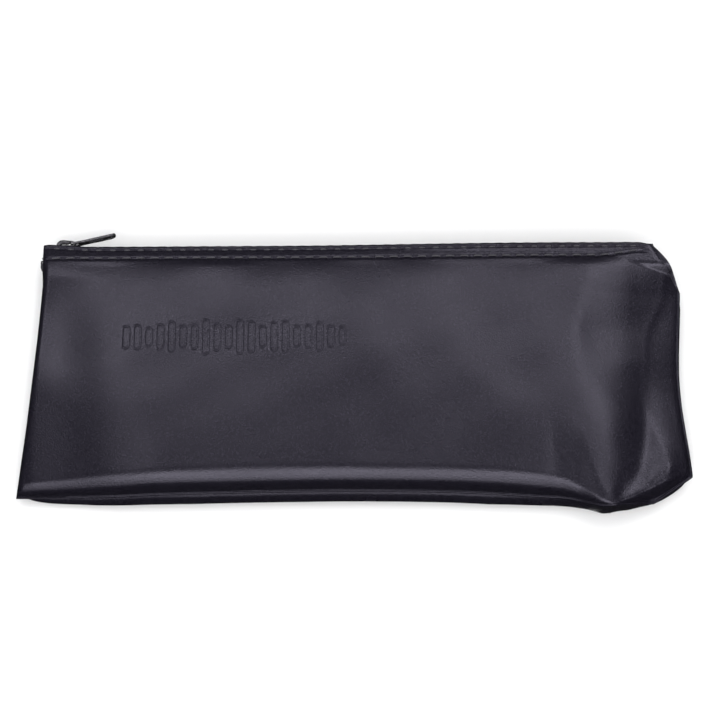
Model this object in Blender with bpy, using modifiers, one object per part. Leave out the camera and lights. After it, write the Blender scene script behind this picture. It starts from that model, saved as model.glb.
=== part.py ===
"""Zipped vinyl storage pouch for a handheld microphone, lying on its back panel.

Frame: +X along the pouch, from the slider's closed end to the roomy end; +Y from the bottom seam to the
mouth; +Z up, away from the surface that the back panel lies on. The origin is under the middle of the pouch.
"""

import math

import bmesh
import bpy
from mathutils import Vector

MM = 0.001

# Outline of the sewn edge, seen from above.
MOUTH_Y = 47.5 * MM
TOP_LEFT = Vector((-117.6 * MM, MOUTH_Y))
TOP_RIGHT = Vector((111.6 * MM, MOUTH_Y))
BOTTOM_LEFT = Vector((-125.0 * MM, -49.3 * MM))
BOTTOM_RIGHT = Vector((110.4 * MM, -53.5 * MM))
LOWER_CORNER = Vector((125.0 * MM, -43.0 * MM))
UPPER_CORNER = Vector((122.7 * MM, 28.8 * MM))
LEFT_SAG = Vector((-120.6 * MM, 0.0))
RIGHT_WAIST = Vector((121.2 * MM, -6.0 * MM))
BOTTOM_POINTS = [
    BOTTOM_LEFT,
    Vector((-82.0 * MM, -49.2 * MM)),
    Vector((-2.0 * MM, -47.0 * MM)),
    Vector((53.5 * MM, -48.6 * MM)),
    Vector((92.5 * MM, -52.8 * MM)),
    BOTTOM_RIGHT,
]

# Vinyl sheet, its seams and its hems.
VINYL = 0.8 * MM
SEAM_GAP = 0.2 * MM  # half the space between the two panels along a closed seam
SEAM_ALLOWANCE = 5.0 * MM
HEM_DEPTH = 7.5 * MM
HEM_FOLD_RADIUS = 1.0 * MM  # outside radius of the fold along the mouth
HEM_HALF_THICKNESS = 5.95 * MM  # from the zip's middle to a hem's outer face
HEM_LEVEL_FROM_Y = 40.2 * MM  # above this line both hems are flat
NOTCH_FROM_Y = 31.0 * MM  # above this line the side seams part, to let the zip's ends in

# Heights of the seam and of the zip above the surface that the pouch lies on.
SEAM_Z_LEFT = 4.2 * MM
SEAM_Z_MIDDLE = 8.2 * MM
SEAM_Z_RIGHT = 10.2 * MM
ZIP_Z_LEFT = 6.95 * MM
ZIP_Z_RIGHT = 10.0 * MM
ZIP_SLOPE = (ZIP_Z_RIGHT - ZIP_Z_LEFT) / (TOP_RIGHT.x - TOP_LEFT.x)

# Fullness of the front panel above the seam, and the radii of its rolled edges.
FULLNESS_LEFT = 4.4 * MM
FULLNESS_MIDDLE = 8.7 * MM
RIDGE_X = 92.5 * MM
RIDGE_HEIGHT = 4.5 * MM
RIDGE_WIDTH = 17.0 * MM
END_SLOPE_DROP = 2.5 * MM
ROLL_LEFT = 5.0 * MM
ROLL_BOTTOM = 8.5 * MM
ROLL_RIGHT = 9.0 * MM

# Coil zip. Lengths across it run from its middle, outwards from its coils' middle.
COIL_Y = 46.6 * MM
COIL_RADIUS = 0.8 * MM
COIL_WALL = 0.35 * MM
COIL_OFFSET = 1.5 * MM  # from the zip's middle to a coil's middle
CORD_RADIUS = 0.22 * MM
TAPE_THICKNESS = 0.4 * MM
TAPE_TOP = -1.0 * MM
TAPE_INNER_EDGE = 0.7 * MM
TAPE_SKIRT_INNER = 3.35 * MM
TAPE_SKIRT_DEPTH = 10.5 * MM
BEND_RADIUS = 3.5 * MM
LEFT_BEND_X = -114.4 * MM
RIGHT_BEND_X = 107.8 * MM
END_DROP = 5.0 * MM  # how far the zip's ends run on down the side seams, past their bends
END_HALF_WIDTH = 2.45 * MM

# Slider and its pull tab.
SLIDER_X = -109.4 * MM
SLIDER_LENGTH = 8.5 * MM
SLIDER_HALF_WIDTH = 3.1 * MM
WING_THICKNESS = 0.9 * MM
RUNNING_GAP = 0.25 * MM
FLANGE_THICKNESS = 0.55 * MM
POST_HALF_WIDTH = 0.42 * MM
POST_LENGTH = 2.0 * MM
BRIDGE_LENGTH = 7.0 * MM
BRIDGE_HALF_WIDTH = 0.75 * MM
BRIDGE_HEIGHT = 2.7 * MM
BRIDGE_BAR = 0.8 * MM
PULL_LENGTH = 16.2 * MM
PULL_HALF_WIDTH = 1.85 * MM
PULL_THICKNESS = 0.9 * MM
PULL_RING_BAR = 0.8 * MM
PULL_RING_OPENING = 2.1 * MM
PULL_TIP_HOLE_RADIUS = 0.6 * MM
PULL_REST_ANGLE = math.radians(13.2)

# Sewing threads.
THREAD_RADIUS = 0.3 * MM
THREAD_LIFT = 0.15 * MM
UPPER_STITCH_Y = 45.8 * MM
LOWER_STITCH_Y = 42.2 * MM
STITCH_END_MARGIN = 2.5 * MM
SEAM_THREAD_INSET = 2.4 * MM

COLLECTION_NAME = "microphone_pouch"
SIDE_STEPS = 60  # straight pieces that stand for a smooth side of the outline


def clear_scene():
    for obj in list(bpy.data.objects):
        bpy.data.objects.remove(obj)


def collection():
    made = bpy.data.collections.get(COLLECTION_NAME)
    if made is None:
        made = bpy.data.collections.new(COLLECTION_NAME)
        bpy.context.scene.collection.children.link(made)
    return made


def material(name, colour, roughness, metallic=0.0):
    made = bpy.data.materials.get(name)
    if made is None:
        made = bpy.data.materials.new(name)
        made.use_nodes = True
        shader = made.node_tree.nodes["Principled BSDF"]
        shader.inputs["Base Color"].default_value = (*colour, 1.0)
        shader.inputs["Roughness"].default_value = roughness
        shader.inputs["Metallic"].default_value = metallic
    return made


def vinyl():
    return material("black_vinyl", (0.035, 0.033, 0.042), 0.42)


def tape_cloth():
    return material("zip_tape", (0.02, 0.02, 0.024), 0.9)


def nylon():
    return material("coil_nylon", (0.025, 0.025, 0.028), 0.35)


def slider_metal():
    return material("slider_metal", (0.05, 0.05, 0.055), 0.3, metallic=0.8)


def sewing_thread():
    return material("sewing_thread", (0.03, 0.03, 0.035), 0.6)


def add_object(name, data, surface):
    made = bpy.data.objects.new(name, data)
    collection().objects.link(made)
    data.materials.append(surface)
    return made


def add_mesh(name, points, faces, surface):
    mesh = bpy.data.meshes.new(name)
    mesh.from_pydata([tuple(p) for p in points], [], faces)
    mesh.validate()
    mesh.shade_smooth()
    return add_object(name, mesh, surface)


def add_tube(name, points, radius, surface, capped=True, resolution=2):
    curve = bpy.data.curves.new(name, "CURVE")
    curve.dimensions = "3D"
    curve.bevel_depth = radius
    curve.bevel_resolution = resolution
    curve.use_fill_caps = capped
    spline = curve.splines.new("POLY")
    spline.points.add(len(points) - 1)
    for spot, point in zip(spline.points, points):
        spot.co = (*point, 1.0)
    return add_object(name, curve, surface)


def smooth_step(low, high, value):
    share = min(1.0, max(0.0, (value - low) / (high - low)))
    return share * share * (3.0 - 2.0 * share)


def mix(a, b, share):
    return a + (b - a) * share


def bell(value, centre, width):
    return math.exp(-(((value - centre) / width) ** 2))


# ---------------------------------------------------------------- outline


def through(points, share):
    """A point on the smooth curve through these points, share being 0 at the first and 1 at the last."""
    last = len(points) - 1
    place = min(max(share, 0.0), 1.0) * last
    at = min(int(place), last - 1)
    t = place - at
    b, c = points[at], points[at + 1]
    a = points[at - 1] if at else b * 2.0 - c
    d = points[at + 2] if at + 2 <= last else c * 2.0 - b
    return (
        b * 2.0
        + (c - a) * t
        + (a * 2.0 - b * 5.0 + c * 4.0 - d) * t * t
        + (b * 3.0 - a - c * 3.0 + d) * t**3
    ) / 2.0


def even_polyline(points, smooth):
    """The curve through these points as short straight pieces, or the points themselves where it has corners."""
    if not smooth:
        return points
    return [through(points, i / SIDE_STEPS) for i in range(SIDE_STEPS + 1)]


def along(polyline, share):
    """The point at that share of a polyline's length."""
    lengths = [(b - a).length for a, b in zip(polyline, polyline[1:])]
    left = share * sum(lengths)
    for a, b, length in zip(polyline, polyline[1:], lengths):
        if left <= length:
            return a.lerp(b, left / length)
        left -= length
    return polyline[-1].copy()


LEFT_SIDE = even_polyline([BOTTOM_LEFT, LEFT_SAG, TOP_LEFT], smooth=True)
BOTTOM_SIDE = even_polyline(BOTTOM_POINTS, smooth=True)
LOWER_BEVEL_SIDE = [BOTTOM_RIGHT, LOWER_CORNER]
RIGHT_SIDE = even_polyline([LOWER_CORNER, RIGHT_WAIST, UPPER_CORNER], smooth=True)
UPPER_BEVEL_SIDE = [UPPER_CORNER, TOP_RIGHT]
END_SIDE = LOWER_BEVEL_SIDE[:-1] + RIGHT_SIDE + UPPER_BEVEL_SIDE[1:]
LOWER_CORNER_SHARE = 0.14  # rows of the panels' grid meet the end's two corners at these shares
UPPER_CORNER_SHARE = 0.82


def on_end(share):
    """The point on the roomy end's edge, from the bottom seam at 0 to the mouth at 1."""
    if share <= LOWER_CORNER_SHARE:
        return along(LOWER_BEVEL_SIDE, share / LOWER_CORNER_SHARE)
    if share <= UPPER_CORNER_SHARE:
        return along(RIGHT_SIDE, (share - LOWER_CORNER_SHARE) / (UPPER_CORNER_SHARE - LOWER_CORNER_SHARE))
    return along(UPPER_BEVEL_SIDE, (share - UPPER_CORNER_SHARE) / (1.0 - UPPER_CORNER_SHARE))


def on_outline(u, v):
    """Plan position in the panel: u runs from the narrow end to the roomy end, v from the bottom seam to the mouth."""
    bottom, top = along(BOTTOM_SIDE, u), TOP_LEFT.lerp(TOP_RIGHT, u)
    left, right = along(LEFT_SIDE, v), on_end(v)
    corners = (
        BOTTOM_LEFT * ((1 - u) * (1 - v)) + BOTTOM_RIGHT * (u * (1 - v)) + TOP_LEFT * ((1 - u) * v) + TOP_RIGHT * (u * v)
    )
    return bottom * (1 - v) + top * v + left * (1 - u) + right * u - corners


def distance(point, polyline):
    nearest = 1.0
    for a, b in zip(polyline, polyline[1:]):
        edge = b - a
        share = min(1.0, max(0.0, (point - a).dot(edge) / edge.length_squared))
        nearest = min(nearest, (point - a - edge * share).length)
    return nearest


# ---------------------------------------------------------------- heights


def zip_height(x):
    return ZIP_Z_LEFT + (x - TOP_LEFT.x) * ZIP_SLOPE


def middle_height(point):
    """Height of the surface halfway between the panels, which the seams and the zip lie in."""
    low = SEAM_Z_LEFT
    low += (SEAM_Z_MIDDLE - SEAM_Z_LEFT) * smooth_step(-125 * MM, -72 * MM, point.x)
    low += (SEAM_Z_RIGHT - SEAM_Z_MIDDLE) * smooth_step(72 * MM, 121 * MM, point.x)
    return mix(low, zip_height(point.x), smooth_step(-10 * MM, HEM_LEVEL_FROM_Y, point.y))


def front_fullness(point):
    low = mix(FULLNESS_LEFT, FULLNESS_MIDDLE, smooth_step(-123 * MM, -82 * MM, point.x))
    low -= END_SLOPE_DROP * smooth_step(100 * MM, 117 * MM, point.x)
    full = mix(low, HEM_HALF_THICKNESS, smooth_step(-10 * MM, HEM_LEVEL_FROM_Y, point.y))
    window = smooth_step(-46 * MM, -20 * MM, point.y) * (1 - smooth_step(-5 * MM, HEM_LEVEL_FROM_Y, point.y))
    return full + RIDGE_HEIGHT * bell(point.x, RIDGE_X, RIDGE_WIDTH) * window


def back_fullness(point):
    """The back panel lies flat on the surface below, and lifts a little towards the mouth."""
    return mix(middle_height(point), HEM_HALF_THICKNESS, smooth_step(18 * MM, HEM_LEVEL_FROM_Y, point.y))


def edge_lift(point):
    """Half the space between the panels at the sewn edge: closed, but parted where the zip's ends come in."""
    return mix(SEAM_GAP, HEM_HALF_THICKNESS, smooth_step(NOTCH_FROM_Y, HEM_LEVEL_FROM_Y, point.y))


def rolled(depth, radius):
    """How much of its fullness a panel has at this depth inside a sewn edge: a quarter-round roll."""
    share = min(1.0, depth / radius)
    return math.sqrt(max(0.0, 1.0 - (1.0 - share) ** 2))


def face_offset(point, fullness):
    """Height of a panel's outer face, counted from the middle surface."""
    roll = rolled(distance(point, LEFT_SIDE), ROLL_LEFT)
    roll *= rolled(distance(point, BOTTOM_SIDE), ROLL_BOTTOM)
    roll *= rolled(distance(point, END_SIDE), ROLL_RIGHT)
    return mix(edge_lift(point), fullness(point), roll)


# ---------------------------------------------------------------- panels


def roll_shares(radius, span):
    """Grid shares that follow a roll in even angles."""
    return [radius * (1 - math.cos(math.radians(a))) / span for a in (0, 24, 44, 64, 88)]


def column_shares():
    span = TOP_RIGHT.x - BOTTOM_LEFT.x
    left = roll_shares(ROLL_LEFT, span)
    right = [1 - s for s in reversed(roll_shares(ROLL_RIGHT, span))]
    inner_count = 14
    inner = [mix(left[-1], right[0], i / (inner_count + 1)) for i in range(1, inner_count + 1)]
    return left + inner + right


def row_shares():
    span = MOUTH_Y - BOTTOM_LEFT.y
    bottom = roll_shares(ROLL_BOTTOM, span)
    corner_row = [LOWER_CORNER_SHARE]
    inner = [0.24, 0.36, 0.48, 0.58, 0.66, 0.74, UPPER_CORNER_SHARE]
    notch = [1 - (MOUTH_Y - mix(NOTCH_FROM_Y, HEM_LEVEL_FROM_Y, s)) / span for s in (0.2, 0.45, 0.7, 1.0)]
    fold_start = 1 - HEM_FOLD_RADIUS / span
    return bottom + corner_row + inner + notch + [fold_start]


def panel_grid(side, fullness):
    """Rows of points on a panel's outer face, from the bottom seam up over the mouth's fold and down its hem."""
    rows = []
    for v in row_shares():
        row = []
        for u in column_shares():
            plan = on_outline(u, v)
            row.append(Vector((*plan, middle_height(plan) + side * face_offset(plan, fullness))))
        rows.append(row)
    last = rows[-1]
    for angle in (36, 72, 108, 144, 180):
        turn = math.radians(angle)
        out = HEM_FOLD_RADIUS * math.sin(turn)
        down = HEM_FOLD_RADIUS * (1 - math.cos(turn))
        rows.append([p + Vector((0, out, -side * down)) for p in last])
    rows.append([p - Vector((0, HEM_DEPTH - HEM_FOLD_RADIUS, 0)) for p in rows[-1]])
    return rows


def sewn_edge(rows):
    """(row, column) of the panel's edge points, from the notch at the left, round the bottom, to the one at the right."""
    last_column = len(rows[0]) - 1
    closed_rows = [r for r, v in enumerate(row_shares()) if on_end(v).y <= NOTCH_FROM_Y + 1 * MM]
    left = [(r, 0) for r in reversed(closed_rows)]
    bottom = [(0, c) for c in range(1, last_column)]
    right = [(r, last_column) for r in closed_rows]
    return left + bottom + right


def inward(points, index):
    """Way in from the sewn edge at one of its points, as long as a mitre needs."""
    here = points[index]
    ways = []
    for other in (index - 1, index + 1):
        if 0 <= other < len(points) and (points[other] - here).length > 0:
            edge = (points[other] - here) * (1 if other > index else -1)
            ways.append(Vector((-edge.y, edge.x)).normalized())
    if len(ways) == 1:
        return ways[0]
    return (ways[0] + ways[1]) / (1.0 + ways[0].dot(ways[1]))


def corner_indices(points):
    """The ends of the sewn edge and the points where it turns by more than 20 degrees."""
    found = [0]
    for i in range(1, len(points) - 1):
        if (points[i] - points[i - 1]).angle(points[i + 1] - points[i]) > math.radians(20):
            found.append(i)
    return found + [len(points) - 1]


def allowance_plan(points, depth):
    """The sewn edge moved inwards by depth. Between corners the move changes evenly, so that nothing crosses."""
    corners = corner_indices(points)
    moved = [None] * len(points)
    for first, second in zip(corners, corners[1:]):
        a, b = inward(points, first), inward(points, second)
        for i in range(first, second + 1):
            share = (i - first) / (second - first)
            moved[i] = points[i] + a.lerp(b, share) * depth
    return moved


def add_panel(name, side, fullness):
    rows = panel_grid(side, fullness)
    width = len(rows[0])
    points = [p for row in rows for p in row]
    faces = []
    for r in range(len(rows) - 1):
        for c in range(width - 1):
            a = r * width + c
            faces.append((a, a + 1, a + width + 1, a + width))
    edge = sewn_edge(rows)
    plan = [rows[r][c].xy for r, c in edge]
    first_new = len(points)
    for spot in allowance_plan(plan, SEAM_ALLOWANCE):
        points.append(Vector((*spot, middle_height(spot) + side * SEAM_GAP)))
    for i in range(len(edge) - 1):
        a = edge[i][0] * width + edge[i][1]
        b = edge[i + 1][0] * width + edge[i + 1][1]
        faces.append((b, a, first_new + i, first_new + i + 1))
    if side < 0:
        faces = [tuple(reversed(face)) for face in faces]
    panel = add_mesh(name, points, faces, vinyl())
    sheet = panel.modifiers.new("vinyl_thickness", "SOLIDIFY")
    sheet.thickness = VINYL
    sheet.offset = -1.0
    sheet.use_even_offset = True
    sheet.use_rim = True
    return panel


# ---------------------------------------------------------------- zip


def add_zip_line():
    """An empty whose X axis runs along the zip, with +Y out of the mouth. The chain and slider are its children."""
    line = bpy.data.objects.new("zip_line", None)
    collection().objects.link(line)
    line.location = (0, COIL_Y, zip_height(0))
    line.rotation_euler = (0, -math.atan(ZIP_SLOPE), 0)
    return line


def chain_path():
    """Stations along the zip in its own frame: (point, way across its thickness), bent down at both ends."""
    stations = []
    drops = (1.0, 0.5)
    for share in drops:
        at = Vector((LEFT_BEND_X - BEND_RADIUS, -BEND_RADIUS - END_DROP * share, 0))
        stations.append((at, Vector((-1, 0, 0))))
    bend_angles = range(0, 91, 18)
    for degrees in bend_angles:
        a = math.radians(180 - degrees)
        out = Vector((math.cos(a), math.sin(a), 0))
        stations.append((Vector((LEFT_BEND_X, -BEND_RADIUS, 0)) + out * BEND_RADIUS, out))
    for degrees in bend_angles:
        a = math.radians(90 - degrees)
        out = Vector((math.cos(a), math.sin(a), 0))
        stations.append((Vector((RIGHT_BEND_X, -BEND_RADIUS, 0)) + out * BEND_RADIUS, out))
    for share in reversed(drops):
        at = Vector((RIGHT_BEND_X + BEND_RADIUS, -BEND_RADIUS - END_DROP * share, 0))
        stations.append((at, Vector((1, 0, 0))))
    return stations


def tape_section(station, side):
    """Corners of a tape's section: a flat strip under the coil, and a skirt down inside the hem."""
    at, out = station
    straight = out.y > 0.999
    half_width = TAPE_SKIRT_INNER + TAPE_THICKNESS if straight else END_HALF_WIDTH + out.y * (TAPE_SKIRT_INNER - END_HALF_WIDTH)
    skirt = TAPE_SKIRT_DEPTH if straight else 2 * TAPE_THICKNESS
    top, under = TAPE_TOP, TAPE_TOP - TAPE_THICKNESS
    corners = [
        (TAPE_INNER_EDGE, top),
        (half_width, top),
        (half_width, under - skirt + TAPE_THICKNESS),
        (half_width - TAPE_THICKNESS, under - skirt + TAPE_THICKNESS),
        (half_width - TAPE_THICKNESS, under),
        (TAPE_INNER_EDGE, under),
    ]
    return [at + out * depth + Vector((0, 0, side * across)) for across, depth in corners]


def loft(sections):
    """Points and faces of a closed solid through sections that all have the same number of corners."""
    count = len(sections[0])
    points = [p for section in sections for p in section]
    faces = [tuple(range(count)), tuple(reversed(range(len(points) - count, len(points))))]
    for s in range(len(sections) - 1):
        for c in range(count):
            a, b = s * count + c, s * count + (c + 1) % count
            faces.append((b, a, a + count, b + count))
    return points, faces


def fix_normals(obj):
    mesh = bmesh.new()
    mesh.from_mesh(obj.data)
    bmesh.ops.recalc_face_normals(mesh, faces=mesh.faces)
    mesh.to_mesh(obj.data)
    mesh.free()


def add_tape(name, side, line):
    points, faces = loft([tape_section(station, side) for station in chain_path()])
    tape = add_mesh(name, points, faces, tape_cloth())
    tape.data.shade_flat()
    fix_normals(tape)
    tape.parent = line
    return tape


def add_coil(name, side, line):
    """A coil stands here as the hollow round envelope of its turns."""
    points = [at + Vector((0, 0, side * COIL_OFFSET)) for at, _ in chain_path()]
    curve = add_tube(name + "_path", points, COIL_RADIUS, nylon(), capped=False)
    graph = bpy.context.evaluated_depsgraph_get()
    mesh = bpy.data.meshes.new_from_object(curve.evaluated_get(graph))
    mesh.materials.clear()
    coil = add_object(name, mesh, nylon())
    bpy.data.objects.remove(curve)
    wall = coil.modifiers.new("coil_wall", "SOLIDIFY")
    wall.thickness = COIL_WALL
    wall.offset = -1.0
    wall.use_even_offset = True
    coil.parent = line
    return coil


def add_coil_cord(name, side, line):
    points = [at + Vector((0, 0, side * COIL_OFFSET)) for at, _ in chain_path()]
    cord = add_tube(name, points, CORD_RADIUS, sewing_thread(), resolution=1)
    cord.parent = line
    return cord


def add_box(name, low, high, surface):
    """A box between two corners, in its parent's frame."""
    mesh = bpy.data.meshes.new(name)
    shape = bmesh.new()
    bmesh.ops.create_cube(shape, size=1.0)
    for vertex in shape.verts:
        for axis in range(3):
            vertex.co[axis] = low[axis] if vertex.co[axis] < 0 else high[axis]
    shape.to_mesh(mesh)
    shape.free()
    return add_object(name, mesh, surface)


def add_bar_tack(name, bend_x, way, line):
    """Close stitches over both coils, where the zip turns down into the side seam."""
    outer = bend_x + way * (BEND_RADIUS + COIL_RADIUS + THREAD_LIFT)
    far = outer + way * 2 * THREAD_RADIUS
    centre_y = -BEND_RADIUS - END_DROP * 0.45
    half_length = 1.0 * MM
    half_width = COIL_OFFSET + COIL_RADIUS + 0.3 * MM
    tack = add_box(
        name,
        (min(outer, far), centre_y - half_length, -half_width),
        (max(outer, far), centre_y + half_length, half_width),
        sewing_thread(),
    )
    round_edges(tack, 0.2 * MM)
    tack.parent = line
    return tack


def round_edges(obj, width):
    bevel = obj.modifiers.new("rounded_edges", "BEVEL")
    bevel.width = width
    bevel.segments = 2
    bevel.limit_method = "ANGLE"
    return bevel


# ---------------------------------------------------------------- slider


def filled_curve(name, outlines, half_depth, surface):
    """A flat outline in XY, with its holes, made as thick as twice half_depth along Z."""
    curve = bpy.data.curves.new(name, "CURVE")
    curve.dimensions = "2D"
    curve.fill_mode = "BOTH"
    curve.extrude = half_depth
    for outline in outlines:
        spline = curve.splines.new("POLY")
        spline.points.add(len(outline) - 1)
        for spot, (x, y) in zip(spline.points, outline):
            spot.co = (x, y, 0.0, 1.0)
        spline.use_cyclic_u = True
    return add_object(name, curve, surface)


def made_mesh(obj):
    """The object as a welded mesh object in world coordinates, which can be cut or joined."""
    graph = bpy.context.evaluated_depsgraph_get()
    mesh = bpy.data.meshes.new_from_object(obj.evaluated_get(graph))
    shape = bmesh.new()
    shape.from_mesh(mesh)
    bmesh.ops.remove_doubles(shape, verts=shape.verts, dist=1e-6)
    bmesh.ops.transform(shape, matrix=obj.matrix_world, verts=shape.verts)
    bmesh.ops.recalc_face_normals(shape, faces=shape.faces)
    shape.to_mesh(mesh)
    shape.free()
    name = obj.name
    bpy.data.objects.remove(obj)
    made = bpy.data.objects.new(name, mesh)
    collection().objects.link(made)
    return made


def join(target, others):
    """Adds each other object's solid to the target's, and removes it."""
    for other in others:
        union = target.modifiers.new("join", "BOOLEAN")
        union.operation = "UNION"
        union.object = other
        graph = bpy.context.evaluated_depsgraph_get()
        mesh = bpy.data.meshes.new_from_object(target.evaluated_get(graph))
        target.modifiers.clear()
        target.data = mesh
        bpy.data.objects.remove(other)
    return target


def arc_points(centre, radius, first, last, count):
    """Points on an arc, in degrees."""
    angles = [math.radians(mix(first, last, i / (count - 1))) for i in range(count)]
    return [(centre[0] + radius * math.cos(a), centre[1] + radius * math.sin(a)) for a in angles]


def wing_outline():
    """A wing seen from the mouth: round at the front, where the coils part, and narrower at the tail."""
    half, width = SLIDER_LENGTH / 2, SLIDER_HALF_WIDTH
    corner = 1.4 * MM
    tail_corner = 0.9 * MM
    return (
        arc_points((-half + corner, width - corner), corner, 90, 180, 5)
        + arc_points((-half + corner, -width + corner), corner, 180, 270, 5)
        + arc_points((half - tail_corner, -width + tail_corner), tail_corner, 270, 360, 4)
        + arc_points((half - tail_corner, width - tail_corner), tail_corner, 0, 90, 4)
    )


def add_wing(name, low_y, high_y):
    wing = filled_curve(name, [wing_outline()], (high_y - low_y) / 2, slider_metal())
    wing.rotation_euler = (math.radians(90), 0, 0)
    wing.location = (0, (low_y + high_y) / 2, 0)
    bpy.context.view_layer.update()
    return made_mesh(wing)


def bridge_outlines():
    """The bridge over the pull's ring, seen from the side, and its opening."""
    half, rise, sunk = BRIDGE_LENGTH / 2, BRIDGE_HEIGHT, 0.3 * MM
    shoulder = 1.5 * MM
    outer = (
        [(-half, -sunk)]
        + arc_points((-half + shoulder, rise - shoulder), shoulder, 180, 90, 5)
        + arc_points((half - shoulder, rise - shoulder), shoulder, 90, 0, 5)
        + [(half, -sunk)]
    )
    bar, inner_shoulder = BRIDGE_BAR, 0.7 * MM
    foot = 0.02 * MM  # the opening ends just inside the wing's face
    opening = (
        [(-half + bar, -foot)]
        + arc_points((-half + bar + inner_shoulder, rise - bar - inner_shoulder), inner_shoulder, 180, 90, 4)
        + arc_points((half - bar - inner_shoulder, rise - bar - inner_shoulder), inner_shoulder, 90, 0, 4)
        + [(half - bar, -foot)]
    )
    return [outer, opening]


def add_slider(line):
    """The die-cast slider: two wings joined by a divider post, side flanges, and the bridge that holds the pull."""
    upper_low = COIL_RADIUS + RUNNING_GAP
    upper_high = upper_low + WING_THICKNESS
    lower_high = TAPE_TOP - TAPE_THICKNESS - RUNNING_GAP
    lower_low = lower_high - WING_THICKNESS
    overlap = 0.2 * MM
    body = add_wing("slider_body", upper_low, upper_high)
    lower = add_wing("lower_wing", lower_low, lower_high)
    half = SLIDER_LENGTH / 2
    post = add_box(
        "post",
        (-half + 0.5 * MM, lower_high - overlap, -POST_HALF_WIDTH),
        (-half + 0.5 * MM + POST_LENGTH, upper_low + overlap, POST_HALF_WIDTH),
        slider_metal(),
    )
    flanges = []
    for side in (-1, 1):
        inner, outer = side * (SLIDER_HALF_WIDTH - FLANGE_THICKNESS), side * SLIDER_HALF_WIDTH * 0.995
        flanges.append(
            add_box(
                "flange",
                (-half + 1.5 * MM, TAPE_TOP + RUNNING_GAP, min(inner, outer)),
                (half - 1.0 * MM, upper_low + overlap, max(inner, outer)),
                slider_metal(),
            )
        )
    bridge = filled_curve("bridge", bridge_outlines(), BRIDGE_HALF_WIDTH, slider_metal())
    bridge.location = (0, upper_high, 0)
    bpy.context.view_layer.update()
    join(body, [lower, post, *flanges, made_mesh(bridge)])
    body.data.materials.clear()
    body.data.materials.append(slider_metal())
    body.parent = line
    body.location = (SLIDER_X, 0, 0)
    return body


def pull_pivot():
    """The pull's pivot in the zip's frame: its ring's bar, under the bridge and next to its rear leg."""
    wing_top = COIL_RADIUS + RUNNING_GAP + WING_THICKNESS
    clear_rise = BRIDGE_HEIGHT - BRIDGE_BAR
    x = SLIDER_X + BRIDGE_LENGTH / 2 - BRIDGE_BAR - 0.95 * MM
    return Vector((x, wing_top + clear_rise / 2, 0))


def pull_outlines():
    """The pull tab's outline from its ring, at the pivot, to its round tip, with the ring's opening and a tip hole."""
    half, bar = PULL_HALF_WIDTH, PULL_RING_BAR
    ring_end = -bar / 2
    corner = 0.5 * MM
    tip_centre = PULL_LENGTH - half
    outer = (
        arc_points((ring_end + corner, half - corner), corner, 90, 180, 3)
        + arc_points((ring_end + corner, -half + corner), corner, 180, 270, 3)
        + arc_points((tip_centre, 0), half, -90, 90, 9)
    )
    inner_half = BRIDGE_HALF_WIDTH + 0.3 * MM
    opening = [
        (bar / 2, -inner_half),
        (bar / 2 + PULL_RING_OPENING, -inner_half),
        (bar / 2 + PULL_RING_OPENING, inner_half),
        (bar / 2, inner_half),
    ]
    hole = arc_points((tip_centre + 0.2 * MM, 0), PULL_TIP_HOLE_RADIUS, 0, 315, 8)
    return [outer, opening, hole]


def add_pull(line):
    """The flat pull tab, turned so that its width lies across the zip, at its rest angle."""
    flat = filled_curve("pull_tab", pull_outlines(), PULL_THICKNESS / 2, slider_metal())
    pull = made_mesh(flat)
    for vertex in pull.data.vertices:
        x, y, z = vertex.co
        vertex.co = (x, z, -y)
    pull.data.materials.clear()
    pull.data.materials.append(slider_metal())
    pull.parent = line
    pull.location = pull_pivot()
    pull.rotation_euler = (0, 0, PULL_REST_ANGLE)
    return pull


# ---------------------------------------------------------------- threads


def add_hem_thread(name, side, stitch_y):
    """A row of top-stitching along a hem, as one continuous thread on its outer face."""
    lift = HEM_HALF_THICKNESS + THREAD_LIFT + THREAD_RADIUS
    low, high = TOP_LEFT.x + STITCH_END_MARGIN, TOP_RIGHT.x - STITCH_END_MARGIN
    steps = 8
    points = []
    for i in range(steps + 1):
        x = mix(low, high, i / steps)
        points.append((x, stitch_y, zip_height(x) + side * lift))
    return add_tube(name, points, THREAD_RADIUS, sewing_thread(), resolution=1)


def add_seam_thread(name, polyline, first, last, steps):
    """A seam's thread, lying inside the pouch on the front panel's allowance."""
    rest = SEAM_GAP + VINYL + THREAD_LIFT + THREAD_RADIUS
    plan = [along(polyline, mix(first, last, i / steps)) for i in range(steps + 1)]
    inset = allowance_plan(plan, SEAM_THREAD_INSET)
    points = [(*spot, middle_height(spot) + rest) for spot in inset]
    return add_tube(name, points, THREAD_RADIUS, sewing_thread(), resolution=1)


def add_threads():
    for side, panel in ((1, "front"), (-1, "back")):
        add_hem_thread(f"{panel}_hem_upper_thread", side, UPPER_STITCH_Y)
        add_hem_thread(f"{panel}_hem_lower_thread", side, LOWER_STITCH_Y)
    add_seam_thread("left_seam_thread", LEFT_SIDE[::-1], 0.22, 0.96, 13)
    add_seam_thread("bottom_seam_thread", BOTTOM_SIDE, 0.02, 0.985, 26)
    add_seam_thread("corner_seam_thread", LOWER_BEVEL_SIDE, 0.14, 0.86, 4)
    add_seam_thread("right_seam_thread", RIGHT_SIDE, 0.05, 0.93, 10)


def main():
    clear_scene()
    add_panel("front_panel", 1, front_fullness)
    add_panel("back_panel", -1, back_fullness)
    line = add_zip_line()
    for side, panel in ((1, "front"), (-1, "back")):
        add_tape(f"{panel}_zip_tape", side, line)
        add_coil(f"{panel}_coil", side, line)
        add_coil_cord(f"{panel}_coil_cord", side, line)
    add_bar_tack("left_bar_tack", LEFT_BEND_X, -1, line)
    add_bar_tack("right_bar_tack", RIGHT_BEND_X, 1, line)
    add_slider(line)
    add_pull(line)
    add_threads()


main()
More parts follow.
